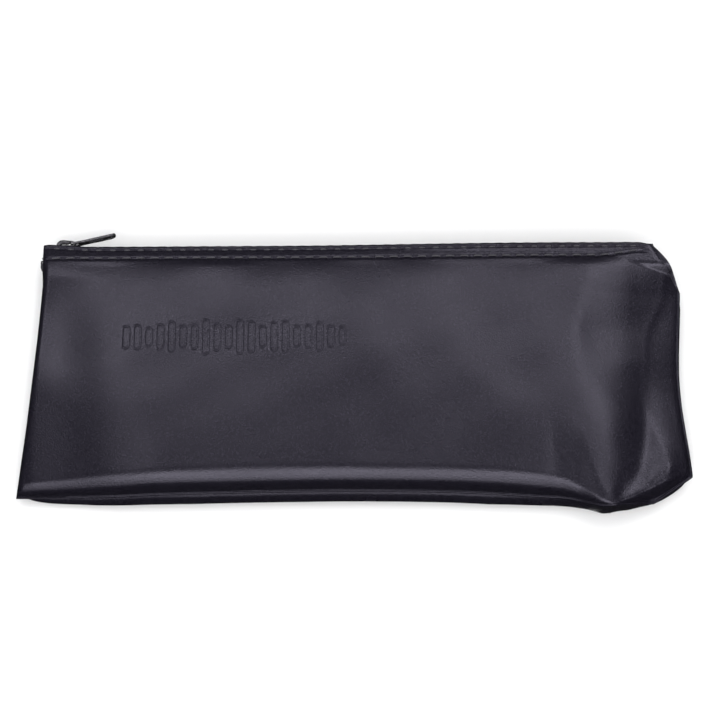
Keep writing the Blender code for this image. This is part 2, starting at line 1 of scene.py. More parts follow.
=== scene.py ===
"""Looks of a zipped vinyl microphone pouch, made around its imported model.

Lengths inside this script are in millimetres, in the model's frame, and become metres where a mesh is made.
+X runs along the pouch, +Y towards its mouth, +Z up from the surface that it lies on.
"""

import math

import bpy
import numpy as np
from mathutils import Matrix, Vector


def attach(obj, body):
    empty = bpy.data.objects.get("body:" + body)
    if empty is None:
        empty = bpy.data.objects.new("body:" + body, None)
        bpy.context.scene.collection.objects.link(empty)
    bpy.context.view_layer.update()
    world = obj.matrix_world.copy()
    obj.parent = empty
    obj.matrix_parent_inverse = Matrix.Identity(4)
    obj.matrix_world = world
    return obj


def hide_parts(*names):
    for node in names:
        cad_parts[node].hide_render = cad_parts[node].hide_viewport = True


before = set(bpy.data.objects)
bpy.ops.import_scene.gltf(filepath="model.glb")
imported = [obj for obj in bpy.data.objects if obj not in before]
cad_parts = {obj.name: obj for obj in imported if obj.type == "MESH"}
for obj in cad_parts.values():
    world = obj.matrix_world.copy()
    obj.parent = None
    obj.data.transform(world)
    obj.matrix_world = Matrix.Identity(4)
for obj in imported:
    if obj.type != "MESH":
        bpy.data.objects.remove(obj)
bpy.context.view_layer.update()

MM = 0.001

# ---------------------------------------------------------------- sizes

MOUTH_Y = 47.5
TOP_LEFT = (-117.6, MOUTH_Y)
TOP_RIGHT = (111.6, MOUTH_Y)
BOTTOM_LEFT = (-125.0, -49.6)
BOTTOM_RIGHT = (110.2, -52.3)
LOWER_CORNER = (125.0, -42.2)
UPPER_CORNER = (122.7, 28.8)
LEFT_POINTS = [BOTTOM_LEFT, (-120.4, 0.0), (-118.0, 34.0), TOP_LEFT]
BOTTOM_POINTS = [BOTTOM_LEFT, (-105.0, -49.8), (-88.0, -49.9), (-71.0, -49.3), (-46.0, -48.6)]
BOTTOM_POINTS += [(-20.0, -48.1), (0.0, -47.9), (30.0, -48.2), (50.0, -49.0), (68.0, -50.1), (77.0, -50.8)]
BOTTOM_POINTS += [(85.0, -53.0), (90.0, -54.7), (95.0, -54.9), (98.0, -54.1), (102.0, -53.6), (106.0, -52.6)]
BOTTOM_POINTS += [BOTTOM_RIGHT]
RIGHT_POINTS = [LOWER_CORNER, (121.2, -6.0), UPPER_CORNER]
LOWER_CORNER_SHARE = 0.14
UPPER_CORNER_SHARE = 0.82

SEAM_LEVEL_Y = -50.0  # the bottom seam keeps its own height up to here
PINCH = (95.0, -54.8)  # where a crease gathers the front panel at the bottom seam
LOBE_STATIONS = [PINCH[0], 98.0, 101.7, 105.5, 109.0, 113.0, 121.0]  # along the fold beyond the pinch
# The crease from there on, between the pouch's broad face and the lower shelf of its roomy end.
CREASE_POINTS = [PINCH, (97.4, -52.2), (100.0, -48.4), (102.6, -44.0), (104.4, -39.5), (106.0, -32.0)]
CREASE_POINTS += [(107.0, -22.0), (107.4, -10.0), (108.6, 0.0), (111.0, 10.0), (114.5, 20.0), (117.0, 30.0)]
CREASE_POINTS += [(118.0, 46.0)]
SEAM_GAP = 0.12
LIP_RADIUS = 0.42
LIP_WIDTH = 0.75
RIM_BLEND = 0.16  # how softly a panel runs into its sewn edge
HEM_HALF_THICKNESS = 5.95
HEM_LEVEL_FROM_Y = 40.2
NOTCH_FROM_Y = 31.0
HEM_FOLD_RADIUS = 1.0
HEM_DEPTH = 7.5
VINYL = 0.8

ZIP_Z_LEFT = 6.95
ZIP_Z_RIGHT = 10.0
ZIP_SLOPE = (ZIP_Z_RIGHT - ZIP_Z_LEFT) / (TOP_RIGHT[0] - TOP_LEFT[0])
COIL_Y = 46.6
COIL_OFFSET = 1.5
LEFT_BEND_X = -114.4
RIGHT_BEND_X = 107.8
BEND_RADIUS = 3.5
END_DROP = 5.0
COIL_PITCH = 1.12
COIL_STEPS = 12  # points for each turn

SLIDER_X = -109.4
COIL_RADIUS = 0.8
RUNNING_GAP = 0.25
WING_THICKNESS = 0.9
WING_HALF_LENGTH = 4.25
WING_HALF_WIDTH = 3.1
WING_NOSE_HALF_WIDTH = 1.7
WING_TAIL_HALF_WIDTH = 2.35
BRIDGE_HALF_LENGTH = 3.5
BRIDGE_BAR = 0.8
BRIDGE_STEPS = 34
PULL_EYE_REACH = 0.95  # from the bridge's bar to the pull tab's pivot
PULL_REST_ANGLE = math.radians(11.6)
PULL_LENGTH = 17.0
PULL_HALF_WIDTH = 1.85
PULL_WAIST_HALF_WIDTH = 1.55
PULL_EDGE_BEVEL = 0.17
PULL_HALF_CORE = 0.27
TIP_HOLE_INSET = 1.65
TIP_HOLE_RADIUS = 0.62
TIP_BEND_FROM = 11.0

STITCH_PITCH = 5.3
UPPER_STITCH_Y = 45.75
LOWER_STITCH_Y = 42.2

MARK_LEFT, MARK_RIGHT = -87.2, -2.6
MARK_LOW, MARK_HIGH = 2.2, 15.6
MARK_BARS = 20

CAMERA_TILT = math.radians(18.0)
CAMERA_DISTANCE = 0.924  # metres
CAMERA_AIM = (0.00205, 0.00575, 0.0)  # metres
FIELD_OF_VIEW = math.radians(16.76)
SENSOR_WIDTH = 36.0

SKY_ROOM = (0.02, 0.10)  # radiance below the horizon and above it
SKY_PANELS = [  # radiance, lean in degrees from straight up towards +X and +Y, soft half-widths
    (3.7, (0.0, 27.0), (0.75, 0.08)),
    (4.1, (17.0, 18.0), (0.10, 0.50)),
    (2.1, (-14.0, 18.0), (0.12, 0.50)),
    (5.4, (0.0, -40.0), (0.80, 0.26)),
    (2.0, (0.0, -60.0), (0.80, 0.50)),
]
BACKDROP = 0.9
FLOOR_SIZE = 4.0  # metres
FLOOR_DROP = 0.0004  # metres


# ---------------------------------------------------------------- helpers


def smooth_step(low, high, value):
    share = np.clip((value - low) / (high - low), 0.0, 1.0)
    return share * share * (3.0 - 2.0 * share)


def mix(a, b, share):
    return a + (b - a) * share


def bell(value, centre, width):
    return np.exp(-(((value - centre) / width) ** 2))


def soft_max(a, b, blend):
    """The larger of two heights, with the corner between them rounded over this height."""
    lean = np.clip(0.5 + 0.5 * (a - b) / blend, 0.0, 1.0)
    return b + (a - b) * lean + blend * lean * (1.0 - lean)


def eased(at, places, values):
    """A smooth curve through the values at those places, which never swings past them."""
    places = np.asarray(places, dtype=float)
    values = np.asarray(values, dtype=float)
    secants = np.diff(values) / np.diff(places)
    before, after = secants[:-1], secants[1:]
    steady = before * after > 0
    slopes = np.zeros(len(values))
    slopes[1:-1][steady] = 2 * before[steady] * after[steady] / (before[steady] + after[steady])
    at = np.clip(at, places[0], places[-1])
    i = np.clip(np.searchsorted(places, at, side="right") - 1, 0, len(places) - 2)
    step = places[i + 1] - places[i]
    t = (at - places[i]) / step
    start = (1 + 2 * t) * (1 - t) ** 2 * values[i] + t * (1 - t) ** 2 * step * slopes[i]
    return start + t * t * (3 - 2 * t) * values[i + 1] - t * t * (1 - t) * step * slopes[i + 1]


def through(points, count):
    """A smooth curve through the points, as that many points evenly spaced along it."""
    p = np.array(points, dtype=float)
    p = np.vstack([2 * p[0] - p[1], p, 2 * p[-1] - p[-2]])
    fine = []
    for i in range(1, len(p) - 2):
        a, b, c, d = p[i - 1], p[i], p[i + 1], p[i + 2]
        t = np.linspace(0.0, 1.0, 40, endpoint=False)[:, None]
        square = (2 * a - 5 * b + 4 * c - d) * t**2
        cube = (3 * b - a - 3 * c + d) * t**3
        fine.append((b * 2 + (c - a) * t + square + cube) / 2)
    fine.append(p[-2][None, :])
    return along(np.vstack(fine), np.linspace(0.0, 1.0, count))


def reaches(line):
    """How far along a polyline each of its points is."""
    return np.concatenate([[0.0], np.cumsum(np.linalg.norm(np.diff(line, axis=0), axis=1))])


def along(line, shares):
    """Points at those shares of a polyline's length."""
    line = np.asarray(line, dtype=float)
    reach = reaches(line)
    at = np.asarray(shares) * reach[-1]
    return np.stack([np.interp(at, reach, line[:, k]) for k in range(line.shape[1])], axis=-1)


def extended(line, by=9.0):
    line = np.asarray(line, dtype=float)
    first = line[0] - (line[1] - line[0]) / np.linalg.norm(line[1] - line[0]) * by
    last = line[-1] + (line[-1] - line[-2]) / np.linalg.norm(line[-1] - line[-2]) * by
    return np.vstack([first, line, last])


def beside(x, y, line):
    """Distance from each place to a polyline, positive on its left."""
    best = np.full(x.shape, 1e12)
    side = np.ones(x.shape)
    for a, b in zip(line[:-1], line[1:]):
        ex, ey = b - a
        t = np.clip(((x - a[0]) * ex + (y - a[1]) * ey) / (ex * ex + ey * ey), 0.0, 1.0)
        far = (x - a[0] - ex * t) ** 2 + (y - a[1] - ey * t) ** 2
        closer = far < best
        best = np.where(closer, far, best)
        side = np.where(closer, np.where(ex * (y - a[1]) - ey * (x - a[0]) >= 0, 1.0, -1.0), side)
    return side * np.sqrt(best)


def nearest(x, y, line):
    """Distance from each place to a polyline."""
    return np.abs(beside(x, y, line))


def put(made):
    """Puts an object into the scene."""
    bpy.context.scene.collection.objects.link(made)


def add_mesh(name, points, faces, surface, smooth=True):
    """A mesh object from points in millimetres."""
    mesh = bpy.data.meshes.new(name)
    mesh.from_pydata((np.asarray(points, dtype=float) * MM).tolist(), [], faces)
    if smooth:
        mesh.shade_smooth()
    made = bpy.data.objects.new(name, mesh)
    put(made)
    mesh.materials.append(surface)
    return made


def grid_faces(rows, columns, start=0):
    r, c = np.meshgrid(np.arange(rows - 1), np.arange(columns - 1), indexing="ij")
    a = (start + r * columns + c).ravel()
    return np.stack([a, a + 1, a + columns + 1, a + columns], axis=1).tolist()


def ring_faces(rings, count):
    """Faces between neighbouring rings of that many points."""
    faces = []
    for ring in range(rings - 1):
        for s in range(count):
            a, b = ring * count + s, ring * count + (s + 1) % count
            faces.append((a, b, b + count, a + count))
    return faces


def bar_faces(rings, count):
    """Faces of a closed bar whose rings of points run clockwise, seen from its start."""
    ends = [tuple(range(count)), tuple(reversed(range((rings - 1) * count, rings * count)))]
    return ends + [face[::-1] for face in ring_faces(rings, count)]


def sweep(path, radii, sides=8):
    """Points and faces of a round tube along a path, with closed ends.

    radii is one number or one for each point.
    """
    path = np.asarray(path, dtype=float)
    count = len(path)
    radii = np.broadcast_to(np.asarray(radii, dtype=float), (count,))
    tangents = np.gradient(path, axis=0)
    tangents /= np.linalg.norm(tangents, axis=1)[:, None]
    normal = np.cross(tangents[0], [0.0, 0.0, 1.0])
    if np.linalg.norm(normal) < 0.1:
        normal = np.cross(tangents[0], [0.0, 1.0, 0.0])
    turns = np.linspace(0.0, 2 * math.pi, sides, endpoint=False)
    points = np.empty((count, sides, 3))
    for i in range(count):
        normal = normal - tangents[i] * normal.dot(tangents[i])
        normal /= np.linalg.norm(normal)
        other = np.cross(tangents[i], normal)
        ring = np.cos(turns)[:, None] * normal + np.sin(turns)[:, None] * other
        points[i] = path[i] + ring * radii[i]
    faces = ring_faces(count, sides)
    faces.append(tuple(reversed(range(sides))))
    faces.append(tuple(range((count - 1) * sides, count * sides)))
    return points.reshape(-1, 3), faces


def joined(parts):
    """Several (points, faces) as one."""
    points, faces, start = [], [], 0
    for part_points, part_faces in parts:
        points.append(np.asarray(part_points, dtype=float))
        faces.extend([tuple(i + start for i in face) for face in part_faces])
        start += len(part_points)
    return np.vstack(points), faces


# ---------------------------------------------------------------- camera


def add_camera():
    """Above the pouch and a little towards its bottom seam, at the photograph's viewing angle."""
    data = bpy.data.cameras.new("camera")
    camera = bpy.data.objects.new("camera", data)
    put(camera)
    back = Vector((0.0, -math.sin(CAMERA_TILT), math.cos(CAMERA_TILT)))
    camera.location = Vector(CAMERA_AIM) + back * CAMERA_DISTANCE
    camera.rotation_euler = (CAMERA_TILT, 0.0, 0.0)
    data.sensor_width = SENSOR_WIDTH
    data.lens = SENSOR_WIDTH / 2 / math.tan(FIELD_OF_VIEW / 2)
    data.clip_start = 0.01
    data.clip_end = 20.0
    bpy.context.scene.camera = camera


# ---------------------------------------------------------------- materials


class Nodes:
    """A short way to write a material's nodes."""

    def __init__(self, name):
        self.material = bpy.data.materials.new(name)
        self.material.use_nodes = True
        self.tree = self.material.node_tree
        self.shader = self.tree.nodes["Principled BSDF"]

    def add(self, kind, inputs=None, **settings):
        node = self.tree.nodes.new(kind)
        for key, value in settings.items():
            setattr(node, key, value)
        for key, value in (inputs or {}).items():
            if isinstance(value, bpy.types.NodeSocket):
                self.tree.links.new(value, node.inputs[key])
            else:
                node.inputs[key].default_value = value
        return node

    def place(self):
        return self.add("ShaderNodeTexCoord").outputs["Object"]

    def scaled(self, scale):
        return self.add("ShaderNodeMapping", {"Vector": self.place(), "Scale": scale}).outputs["Vector"]

    def noise(self, vector, scale, detail=3.0, roughness=0.5):
        inputs = {"Vector": vector, "Scale": scale, "Detail": detail, "Roughness": roughness}
        return self.add("ShaderNodeTexNoise", inputs).outputs["Fac"]

    def wave(self, vector, scale, direction, **more):
        inputs = {"Vector": vector, "Scale": scale, **more}
        return self.add("ShaderNodeTexWave", inputs, bands_direction=direction).outputs["Fac"]

    def ramp(self, value, low, high, from_low=0.0, from_high=1.0):
        made = self.add("ShaderNodeMapRange", {"Value": value, 1: from_low, 2: from_high, 3: low, 4: high})
        return made.outputs["Result"]

    def colours(self, share, first, second):
        made = self.add("ShaderNodeMix", data_type="RGBA")
        self.tree.links.new(share, made.inputs["Factor"])
        made.inputs[6].default_value = (*first, 1.0)
        made.inputs[7].default_value = (*second, 1.0)
        return made.outputs[2]

    def bump(self, height, distance, strength=1.0, after=None):
        made = self.add("ShaderNodeBump", {"Height": height, "Distance": distance, "Strength": strength})
        if after is not None:
            self.tree.links.new(after, made.inputs["Normal"])
        return made.outputs["Normal"]

    def finish(self, colour=None, rough=None, normal=None, **constants):
        for socket, value in (("Base Color", colour), ("Roughness", rough), ("Normal", normal)):
            if isinstance(value, bpy.types.NodeSocket):
                self.tree.links.new(value, self.shader.inputs[socket])
            elif value is not None:
                self.shader.inputs[socket].default_value = value
        for key, value in constants.items():
            self.shader.inputs[key.replace("_", " ")].default_value = value
        return self.material


def vinyl_material():
    """Black vinyl with a fine pebble grain, slightly shinier where it is handled."""
    n = Nodes("pouch_vinyl")
    place = n.place()
    pebbles = n.add("ShaderNodeTexVoronoi", {"Vector": place, "Scale": 1750.0}, feature="SMOOTH_F1")
    pebbles.inputs["Smoothness"].default_value = 0.5
    fine = n.noise(place, 2100.0, 2.0, 0.5)
    wear = n.noise(place, 38.0, 3.0)
    grain = n.bump(pebbles.outputs["Distance"], 0.00016, 0.3)
    grain = n.bump(fine, 0.00008, 0.3, grain)
    rough = n.ramp(wear, 0.24, 0.28, 0.3, 0.7)
    speckle = n.ramp(fine, 0.0, 1.0, 0.36, 0.64)
    colour = n.colours(speckle, (0.0015, 0.0010, 0.0035), (0.0120, 0.0108, 0.0165))
    return n.finish(colour, rough, grain, Specular_IOR_Level=0.5, Specular_Tint=(0.86, 0.815, 1.0, 1.0))


def thread_material():
    n = Nodes("bonded_thread")
    place = n.place()
    strands = n.wave(place, 900.0, "DIAGONAL", Distortion=1.5, Detail=1.0)
    fuzz = n.noise(place, 3000.0, 2.0)
    colour = n.colours(strands, (0.016, 0.015, 0.020), (0.060, 0.057, 0.070))
    normal = n.bump(strands, 0.00012, 0.6)
    return n.finish(colour, n.ramp(fuzz, 0.32, 0.5), normal, Sheen_Weight=0.25)


def tape_material():
    """Woven polyester tape: a herringbone of fine yarns."""
    n = Nodes("woven_tape")
    place = n.place()
    warp = n.wave(place, 560.0, "X", Distortion=0.6)
    weft = n.wave(place, 620.0, "Y", Distortion=0.6)
    weave = n.add("ShaderNodeMath", {0: warp, 1: weft}, operation="MULTIPLY").outputs[0]
    fuzz = n.noise(place, 2600.0, 3.0)
    colour = n.colours(weave, (0.008, 0.008, 0.010), (0.032, 0.031, 0.036))
    normal = n.bump(weave, 0.00018, 0.8)
    return n.finish(colour, n.ramp(fuzz, 0.75, 0.95), normal, Sheen_Weight=0.4, Sheen_Roughness=0.5)


def coil_material():
    n = Nodes("coil_nylon")
    place = n.place()
    cloud = n.noise(place, 700.0, 3.0)
    colour = n.colours(cloud, (0.014, 0.014, 0.016), (0.030, 0.030, 0.034))
    return n.finish(colour, n.ramp(cloud, 0.24, 0.36), n.bump(cloud, 0.00005, 0.4), Coat_Weight=0.15)


def metal_material():
    """Black plated zinc: glossy, with fine scratches and scattered patches of brighter, rubbed metal."""
    n = Nodes("slider_plating")
    place = n.place()
    scratches = n.noise(n.scaled((350.0, 2600.0, 2600.0)), 1.0, 4.0, 0.6)
    cloud = n.noise(place, 260.0, 4.0)
    worn = n.ramp(n.noise(place, 900.0, 5.0, 0.7), 0.0, 1.0, 0.56, 0.7)
    colour = n.colours(worn, (0.085, 0.082, 0.092), (0.36, 0.35, 0.36))
    rough = n.ramp(cloud, 0.16, 0.34, 0.3, 0.7)
    return n.finish(colour, rough, n.bump(scratches, 0.00004, 0.35), Metallic=0.85)


def floor_material():
    n = Nodes("studio_floor")
    place = n.place()
    cloud = n.noise(place, 3.0, 2.0)
    colour = n.colours(cloud, (0.86, 0.86, 0.865), (0.89, 0.89, 0.895))
    return n.finish(colour, 0.85, n.bump(n.noise(place, 900.0, 3.0), 0.00003, 0.2), Specular_IOR_Level=0.15)


# ---------------------------------------------------------------- the pouch's form

LEFT_LINE = through(LEFT_POINTS, 80)
BOTTOM_LINE = through(BOTTOM_POINTS, 160)
RIGHT_LINE = through(RIGHT_POINTS, 60)
LOWER_BEVEL_LINE = np.array([BOTTOM_RIGHT, LOWER_CORNER])
UPPER_BEVEL_LINE = np.array([UPPER_CORNER, TOP_RIGHT])
CREASE_LINE = through(CREASE_POINTS, 70)


def end_line(shares):
    """The roomy end's edge, from the bottom seam at 0 to the mouth at 1."""
    shares = np.asarray(shares, dtype=float)
    low = along(LOWER_BEVEL_LINE, np.clip(shares / LOWER_CORNER_SHARE, 0, 1))
    middle_share = (shares - LOWER_CORNER_SHARE) / (UPPER_CORNER_SHARE - LOWER_CORNER_SHARE)
    middle = along(RIGHT_LINE, np.clip(middle_share, 0, 1))
    top_share = np.clip((shares - UPPER_CORNER_SHARE) / (1 - UPPER_CORNER_SHARE), 0, 1)
    bow = 1.5 * np.sin(math.pi * top_share) * (shares > UPPER_CORNER_SHARE)
    high = along(UPPER_BEVEL_LINE, top_share) + bow[:, None] * np.array([0.86, 0.51])
    part = shares[:, None]
    return np.where(part < LOWER_CORNER_SHARE, low, np.where(part < UPPER_CORNER_SHARE, middle, high))


def plan_grid(us, vs):
    """Plan positions of the grid that both panels are made on, rows from the bottom seam to the mouth."""
    u, v = us[None, :, None], vs[:, None, None]
    bottom = along(BOTTOM_LINE, us)[None]
    top = along(np.array([TOP_LEFT, TOP_RIGHT]), us)[None]
    left = along(LEFT_LINE, vs)[:, None]
    right = end_line(vs)[:, None]
    corners = (
        np.array(BOTTOM_LEFT) * (1 - u) * (1 - v)
        + np.array(BOTTOM_RIGHT) * u * (1 - v)
        + np.array(TOP_LEFT) * (1 - u) * v
        + np.array(TOP_RIGHT) * u * v
    )
    plan = bottom * (1 - v) + top * v + left * (1 - u) + right * u - corners
    return plan[..., 0], plan[..., 1]


def zip_height(x):
    return ZIP_Z_LEFT + (x - TOP_LEFT[0]) * ZIP_SLOPE


def middle_height(x, y):
    """The surface halfway between the panels. The seams lie in it."""
    low = 4.2 + 4.0 * smooth_step(-125.0, -72.0, x) + 0.5 * smooth_step(72.0, 121.0, x)
    at_seam = 1 - smooth_step(-50.0, -30.0, y)
    places = [72.0, 82.0, 90.0, *LOBE_STATIONS]
    low = low + at_seam * eased(x, places, [0.0, 1.6, 4.6, 6.0, 4.5, 2.6, 0.3, -1.6, -2.2, -2.0])
    return mix(low, zip_height(x), smooth_step(-10.0, HEM_LEVEL_FROM_Y, y))


def edge_lift(y):
    return mix(SEAM_GAP, HEM_HALF_THICKNESS, smooth_step(NOTCH_FROM_Y, HEM_LEVEL_FROM_Y, y))


def quarter(depth, radius):
    share = np.clip(depth / radius, 0.0, 1.0)
    return np.sqrt(np.clip(1.0 - (1.0 - share) ** 2, 0.0, 1.0))


def broad_face(x, y):
    """Height of the broad front face, which climbs quickly below the hem, then slowly, and runs level."""
    hem_fall = 2.1 - 1.1 * smooth_step(-50.0, 60.0, x) + 1.0 * smooth_step(85.0, 104.0, x)
    hem = zip_height(x) + HEM_HALF_THICKNESS + hem_fall * np.clip((MOUTH_Y - y) / 7.0, 0.0, 1.0)
    below = np.maximum(HEM_LEVEL_FROM_Y + 0.3 - y, 0.0)
    near = 1.1 - 0.55 * smooth_step(-50.0, 80.0, x) - 0.6 * (1 - smooth_step(-112.0, -92.0, x))
    reach = 6.5 - 2.0 * smooth_step(-50.0, 80.0, x) - 4.0 * (1 - smooth_step(-112.0, -92.0, x))
    slow = 1.4 * (1.0 - (1.0 - np.clip(below / 42.0, 0.0, 1.0)) ** 2)
    face = hem + near * (1.0 - np.exp(-below / reach)) + slow
    face = face - 3.0 * (1 - smooth_step(-124.0, -62.0, x)) * (1 - smooth_step(-52.0, -14.0, y))
    return face - 3.2 * bell(x, PINCH[0] + 4.0, 18.0) * bell(y, -56.0, 24.0)


def crease(x, y):
    """What the crease takes off the broad face: the fall to the lower shelf beyond it."""
    aside = beside(x, y, CREASE_LINE)
    places = [-54.0, -44.0, -40.0, -30.0, -15.0, 0.0, 10.0, 20.0]
    drops = [1.8, 4.2, 5.0, 6.3, 7.0, 6.5, 7.2, 7.7]
    widths = [7.0, 14.0, 16.5, 21.0, 24.0, 26.0, 28.0, 29.0]
    drop = eased(y, places + [26.0, 32.0, 38.0, 44.0], drops + [7.6, 6.4, 4.4, 2.6])
    width = eased(y, places + [34.0], widths + [30.0])
    bend = eased(y, [-20.0, -4.0, 6.0, 14.0], [2.3, 1.6, 1.25, 1.05])
    aside = (aside + np.sqrt(aside**2 + 5.0)) / 2
    left = 1 - aside / width
    left = np.clip((left + np.sqrt(left**2 + 0.006)) / 2, 0.0, 1.0)
    return drop * left**bend


def undulation(x, y):
    """Soft unevenness of the front panel."""
    soft = 0.22 * np.sin(x * 0.046 + y * 0.075 + 0.6) + 0.16 * np.sin(x * 0.081 - y * 0.052 + 2.0)
    soft = soft + 0.09 * np.sin(x * 0.19 + y * 0.11) + 0.05 * np.sin(x * 0.13 - y * 0.27 + 1.0)
    inside = smooth_step(-124.0, -112.0, x) * (1 - smooth_step(108.0, 120.0, x))
    inside = inside * smooth_step(-48.0, -34.0, y) * (1 - smooth_step(38.0, 42.0, y))
    return soft * inside + narrow_end(x, y)


def narrow_end(x, y):
    """The hollow under the hem at the slider's end, and the soft fold below it."""
    under = (33.5 - y) / 24.0
    under = (under + np.sqrt(under**2 + 0.004)) / 2
    hollow = 2.3 * (1.0 - (1.0 - np.clip(under, 0.0, 1.0)) ** 2.2) - 1.3 * (1 - smooth_step(-22.0, 9.0, y))
    fold = 0.75 * np.exp(-np.sqrt((y + 19.5) ** 2 + 0.6) / 9.0)
    return fold * (1 - smooth_step(-114.0, -98.0, x)) - hollow * (1 - smooth_step(-113.0, -81.0, x))


def lower_row_y(x):
    """The lower row of hem stitches. It dips at the slider's end and climbs at the other."""
    return LOWER_STITCH_Y - 1.0 * (1 - smooth_step(-117.6, -100.0, x)) + 2.2 * smooth_step(90.0, 111.0, x)


def stitch_phase(x):
    return (x - TOP_LEFT[0] - 2.5) / STITCH_PITCH


def hem_relief(x, y):
    """Grooves that the two stitch rows pull into the hem, deepest at the needle holes."""
    pull = 0.5 + 0.5 * np.cos(2 * math.pi * stitch_phase(x))
    low, high = lower_row_y(x), UPPER_STITCH_Y
    relief = -(0.30 + 0.22 * pull) * bell(y, low - 0.35, 0.62)
    relief = relief - (0.14 + 0.16 * pull) * bell(y, high, 0.45)
    ends = smooth_step(-117.6, -115.5, x) * (1 - smooth_step(109.0, 111.6, x))
    return relief * ends


def bar_half_height(index):
    wave = 0.5 + 0.5 * np.sin(index * 1.9 + 0.7)
    swell = 0.35 + 0.65 * np.sin(math.pi * (index + 0.8) / (MARK_BARS + 0.6)) ** 0.8
    return 1.3 + (MARK_HIGH - MARK_LOW - 4.6) / 2 * swell * (0.35 + 0.65 * wave)


def mark_relief(x, y):
    """A pressed mark: a row of outlined rounded bars, like a level meter's."""
    pitch = (MARK_RIGHT - MARK_LEFT) / MARK_BARS
    index = np.clip(np.floor((x - MARK_LEFT) / pitch), 0, MARK_BARS - 1)
    centre = MARK_LEFT + (index + 0.5) * pitch
    half = bar_half_height(index)
    over = np.maximum(np.abs(y - (MARK_LOW + MARK_HIGH) / 2) - half, 0.0)
    outline = np.hypot(x - centre, over) - 1.28
    inside = (x > MARK_LEFT - 1.0) & (x < MARK_RIGHT + 1.0)
    return np.where(inside, -0.24 * bell(outline, 0.0, 0.27) + 0.05 * bell(outline, -0.55, 0.3), 0.0)


def seam_depth(x, y):
    """Distance inwards from the closed seam, which ends where the mouth's corners part."""
    closed = [LEFT_LINE[LEFT_LINE[:, 1] < NOTCH_FROM_Y + 2], BOTTOM_LINE, LOWER_BEVEL_LINE, RIGHT_LINE]
    return np.minimum.reduce([nearest(x, y, line) for line in closed])


def lip(x, y):
    """How far the sewn edge bulges on either side of the surface between the panels."""
    bulge = np.sqrt(np.clip(LIP_RADIUS**2 - (seam_depth(x, y) - LIP_RADIUS) ** 2, 0.0, None))
    closed = 1 - smooth_step(NOTCH_FROM_Y - 6.0, NOTCH_FROM_Y, y)
    from_left = np.clip((x + 110.0) / 8.0, 0.25, 1.0)
    return bulge * closed * from_left


def bottom_roll(x, depth, rise):
    """Climb of the front panel from the bottom seam, at most up to rise.

    It has a steep side, a rounded shoulder, and a soft slope to the face. All three shrink towards the pinch,
    and the fold beyond it leans towards the roomy end.
    """
    lean = 0.35 * np.clip(depth, 0.0, 12.0) * smooth_step(80.0, 94.0, x) * (1 - smooth_step(110.0, 122.0, x))
    x = x - lean
    size = eased(
        x,
        [-125.0, -118.0, -104.0, -87.0, -70.0, 47.0, 69.0, 77.0, 82.5, 88.0, 92.0, 95.0],
        [0.45, 0.6, 0.72, 0.9, 1.0, 1.0, 0.875, 0.72, 0.5, 0.31, 0.16, 0.05],
    )
    on_lobe = x > LOBE_STATIONS[0]
    pick = lambda usual, values: np.where(on_lobe, eased(x, LOBE_STATIONS, values), usual * size)
    side_width = pick(2.6, [0.13, 0.7, 1.6, 2.5, 3.1, 3.1, 2.3])
    side_height = pick(4.5, [0.22, 0.9, 2.1, 3.6, 4.9, 5.0, 3.7])
    shoulder_width = pick(7.8, [0.39, 1.5, 3.0, 5.0, 7.0, 8.0, 7.0])
    shoulder_height = pick(3.8, [0.19, 0.5, 1.0, 1.8, 2.7, 3.0, 2.6])
    places = [-125.0, -80.0, -50.0, 35.0, 72.0, 93.0, 98.0, 104.0, 111.0]
    climb = eased(x, places, [0.12, 0.1, 0.07, 0.07, 0.15, 0.3, 0.3, 0.25, 0.2])
    side = side_height * quarter(depth, side_width)
    shoulder = shoulder_height * (1.0 - (1.0 - np.clip(depth / shoulder_width, 0.0, 1.0)) ** 1.5)
    edge = side + shoulder + climb * np.maximum(depth, 0.0)
    return -soft_max(-edge, -rise, mix(1.8, 2.4, smooth_step(96.0, 108.0, x)))


def right_roll(x, y):
    """Share of its height that the front panel has near the right seam: a rounded edge, then a slow slope."""
    depth = nearest(x, y, extended(RIGHT_LINE)) - LIP_WIDTH
    slope_width = eased(y, [-44.0, -28.0, -14.0, 10.0, 30.0], [8.0, 11.0, 13.0, 12.0, 6.0])
    slope_share = eased(y, [-44.0, -34.0, -14.0, 10.0, 30.0], [0.4, 0.55, 0.75, 0.85, 0.8])
    slope = 1.0 - (1.0 - np.clip(depth / slope_width, 0.0, 1.0)) ** 1.25
    return mix(quarter(depth, 2.4), slope, slope_share)


def front_surface(x, y):
    """Height of the front panel's outer face at these plan positions."""
    left = quarter(nearest(x, y, extended(LEFT_LINE)) - 0.25, 2.6)
    bottom = nearest(x, y, extended(BOTTOM_LINE))
    bevel = nearest(x, y, extended(LOWER_BEVEL_LINE))
    depth = -2.0 * np.log(np.exp(-bottom / 2.0) + np.exp(-bevel / 2.0)) - LIP_WIDTH
    high_bevel = quarter(nearest(x, y, extended(UPPER_BEVEL_LINE)), 2.4)
    middle = middle_height(x, y)
    base = middle + edge_lift(y)
    seam = middle_height(x, np.minimum(y, SEAM_LEVEL_Y)) + SEAM_GAP
    face = np.maximum(broad_face(x, y) - crease(x, y) + undulation(x, y), np.maximum(base, seam) + 0.5)
    climb = seam + bottom_roll(x, depth, face - seam)
    z = base + (climb - base) * left * right_roll(x, y) * high_bevel
    z = soft_max(z, middle + SEAM_GAP + lip(x, y), RIM_BLEND)
    band = smooth_step(39.5, 40.8, y)
    return z + hem_relief(x, y) * band + mark_relief(x, y)


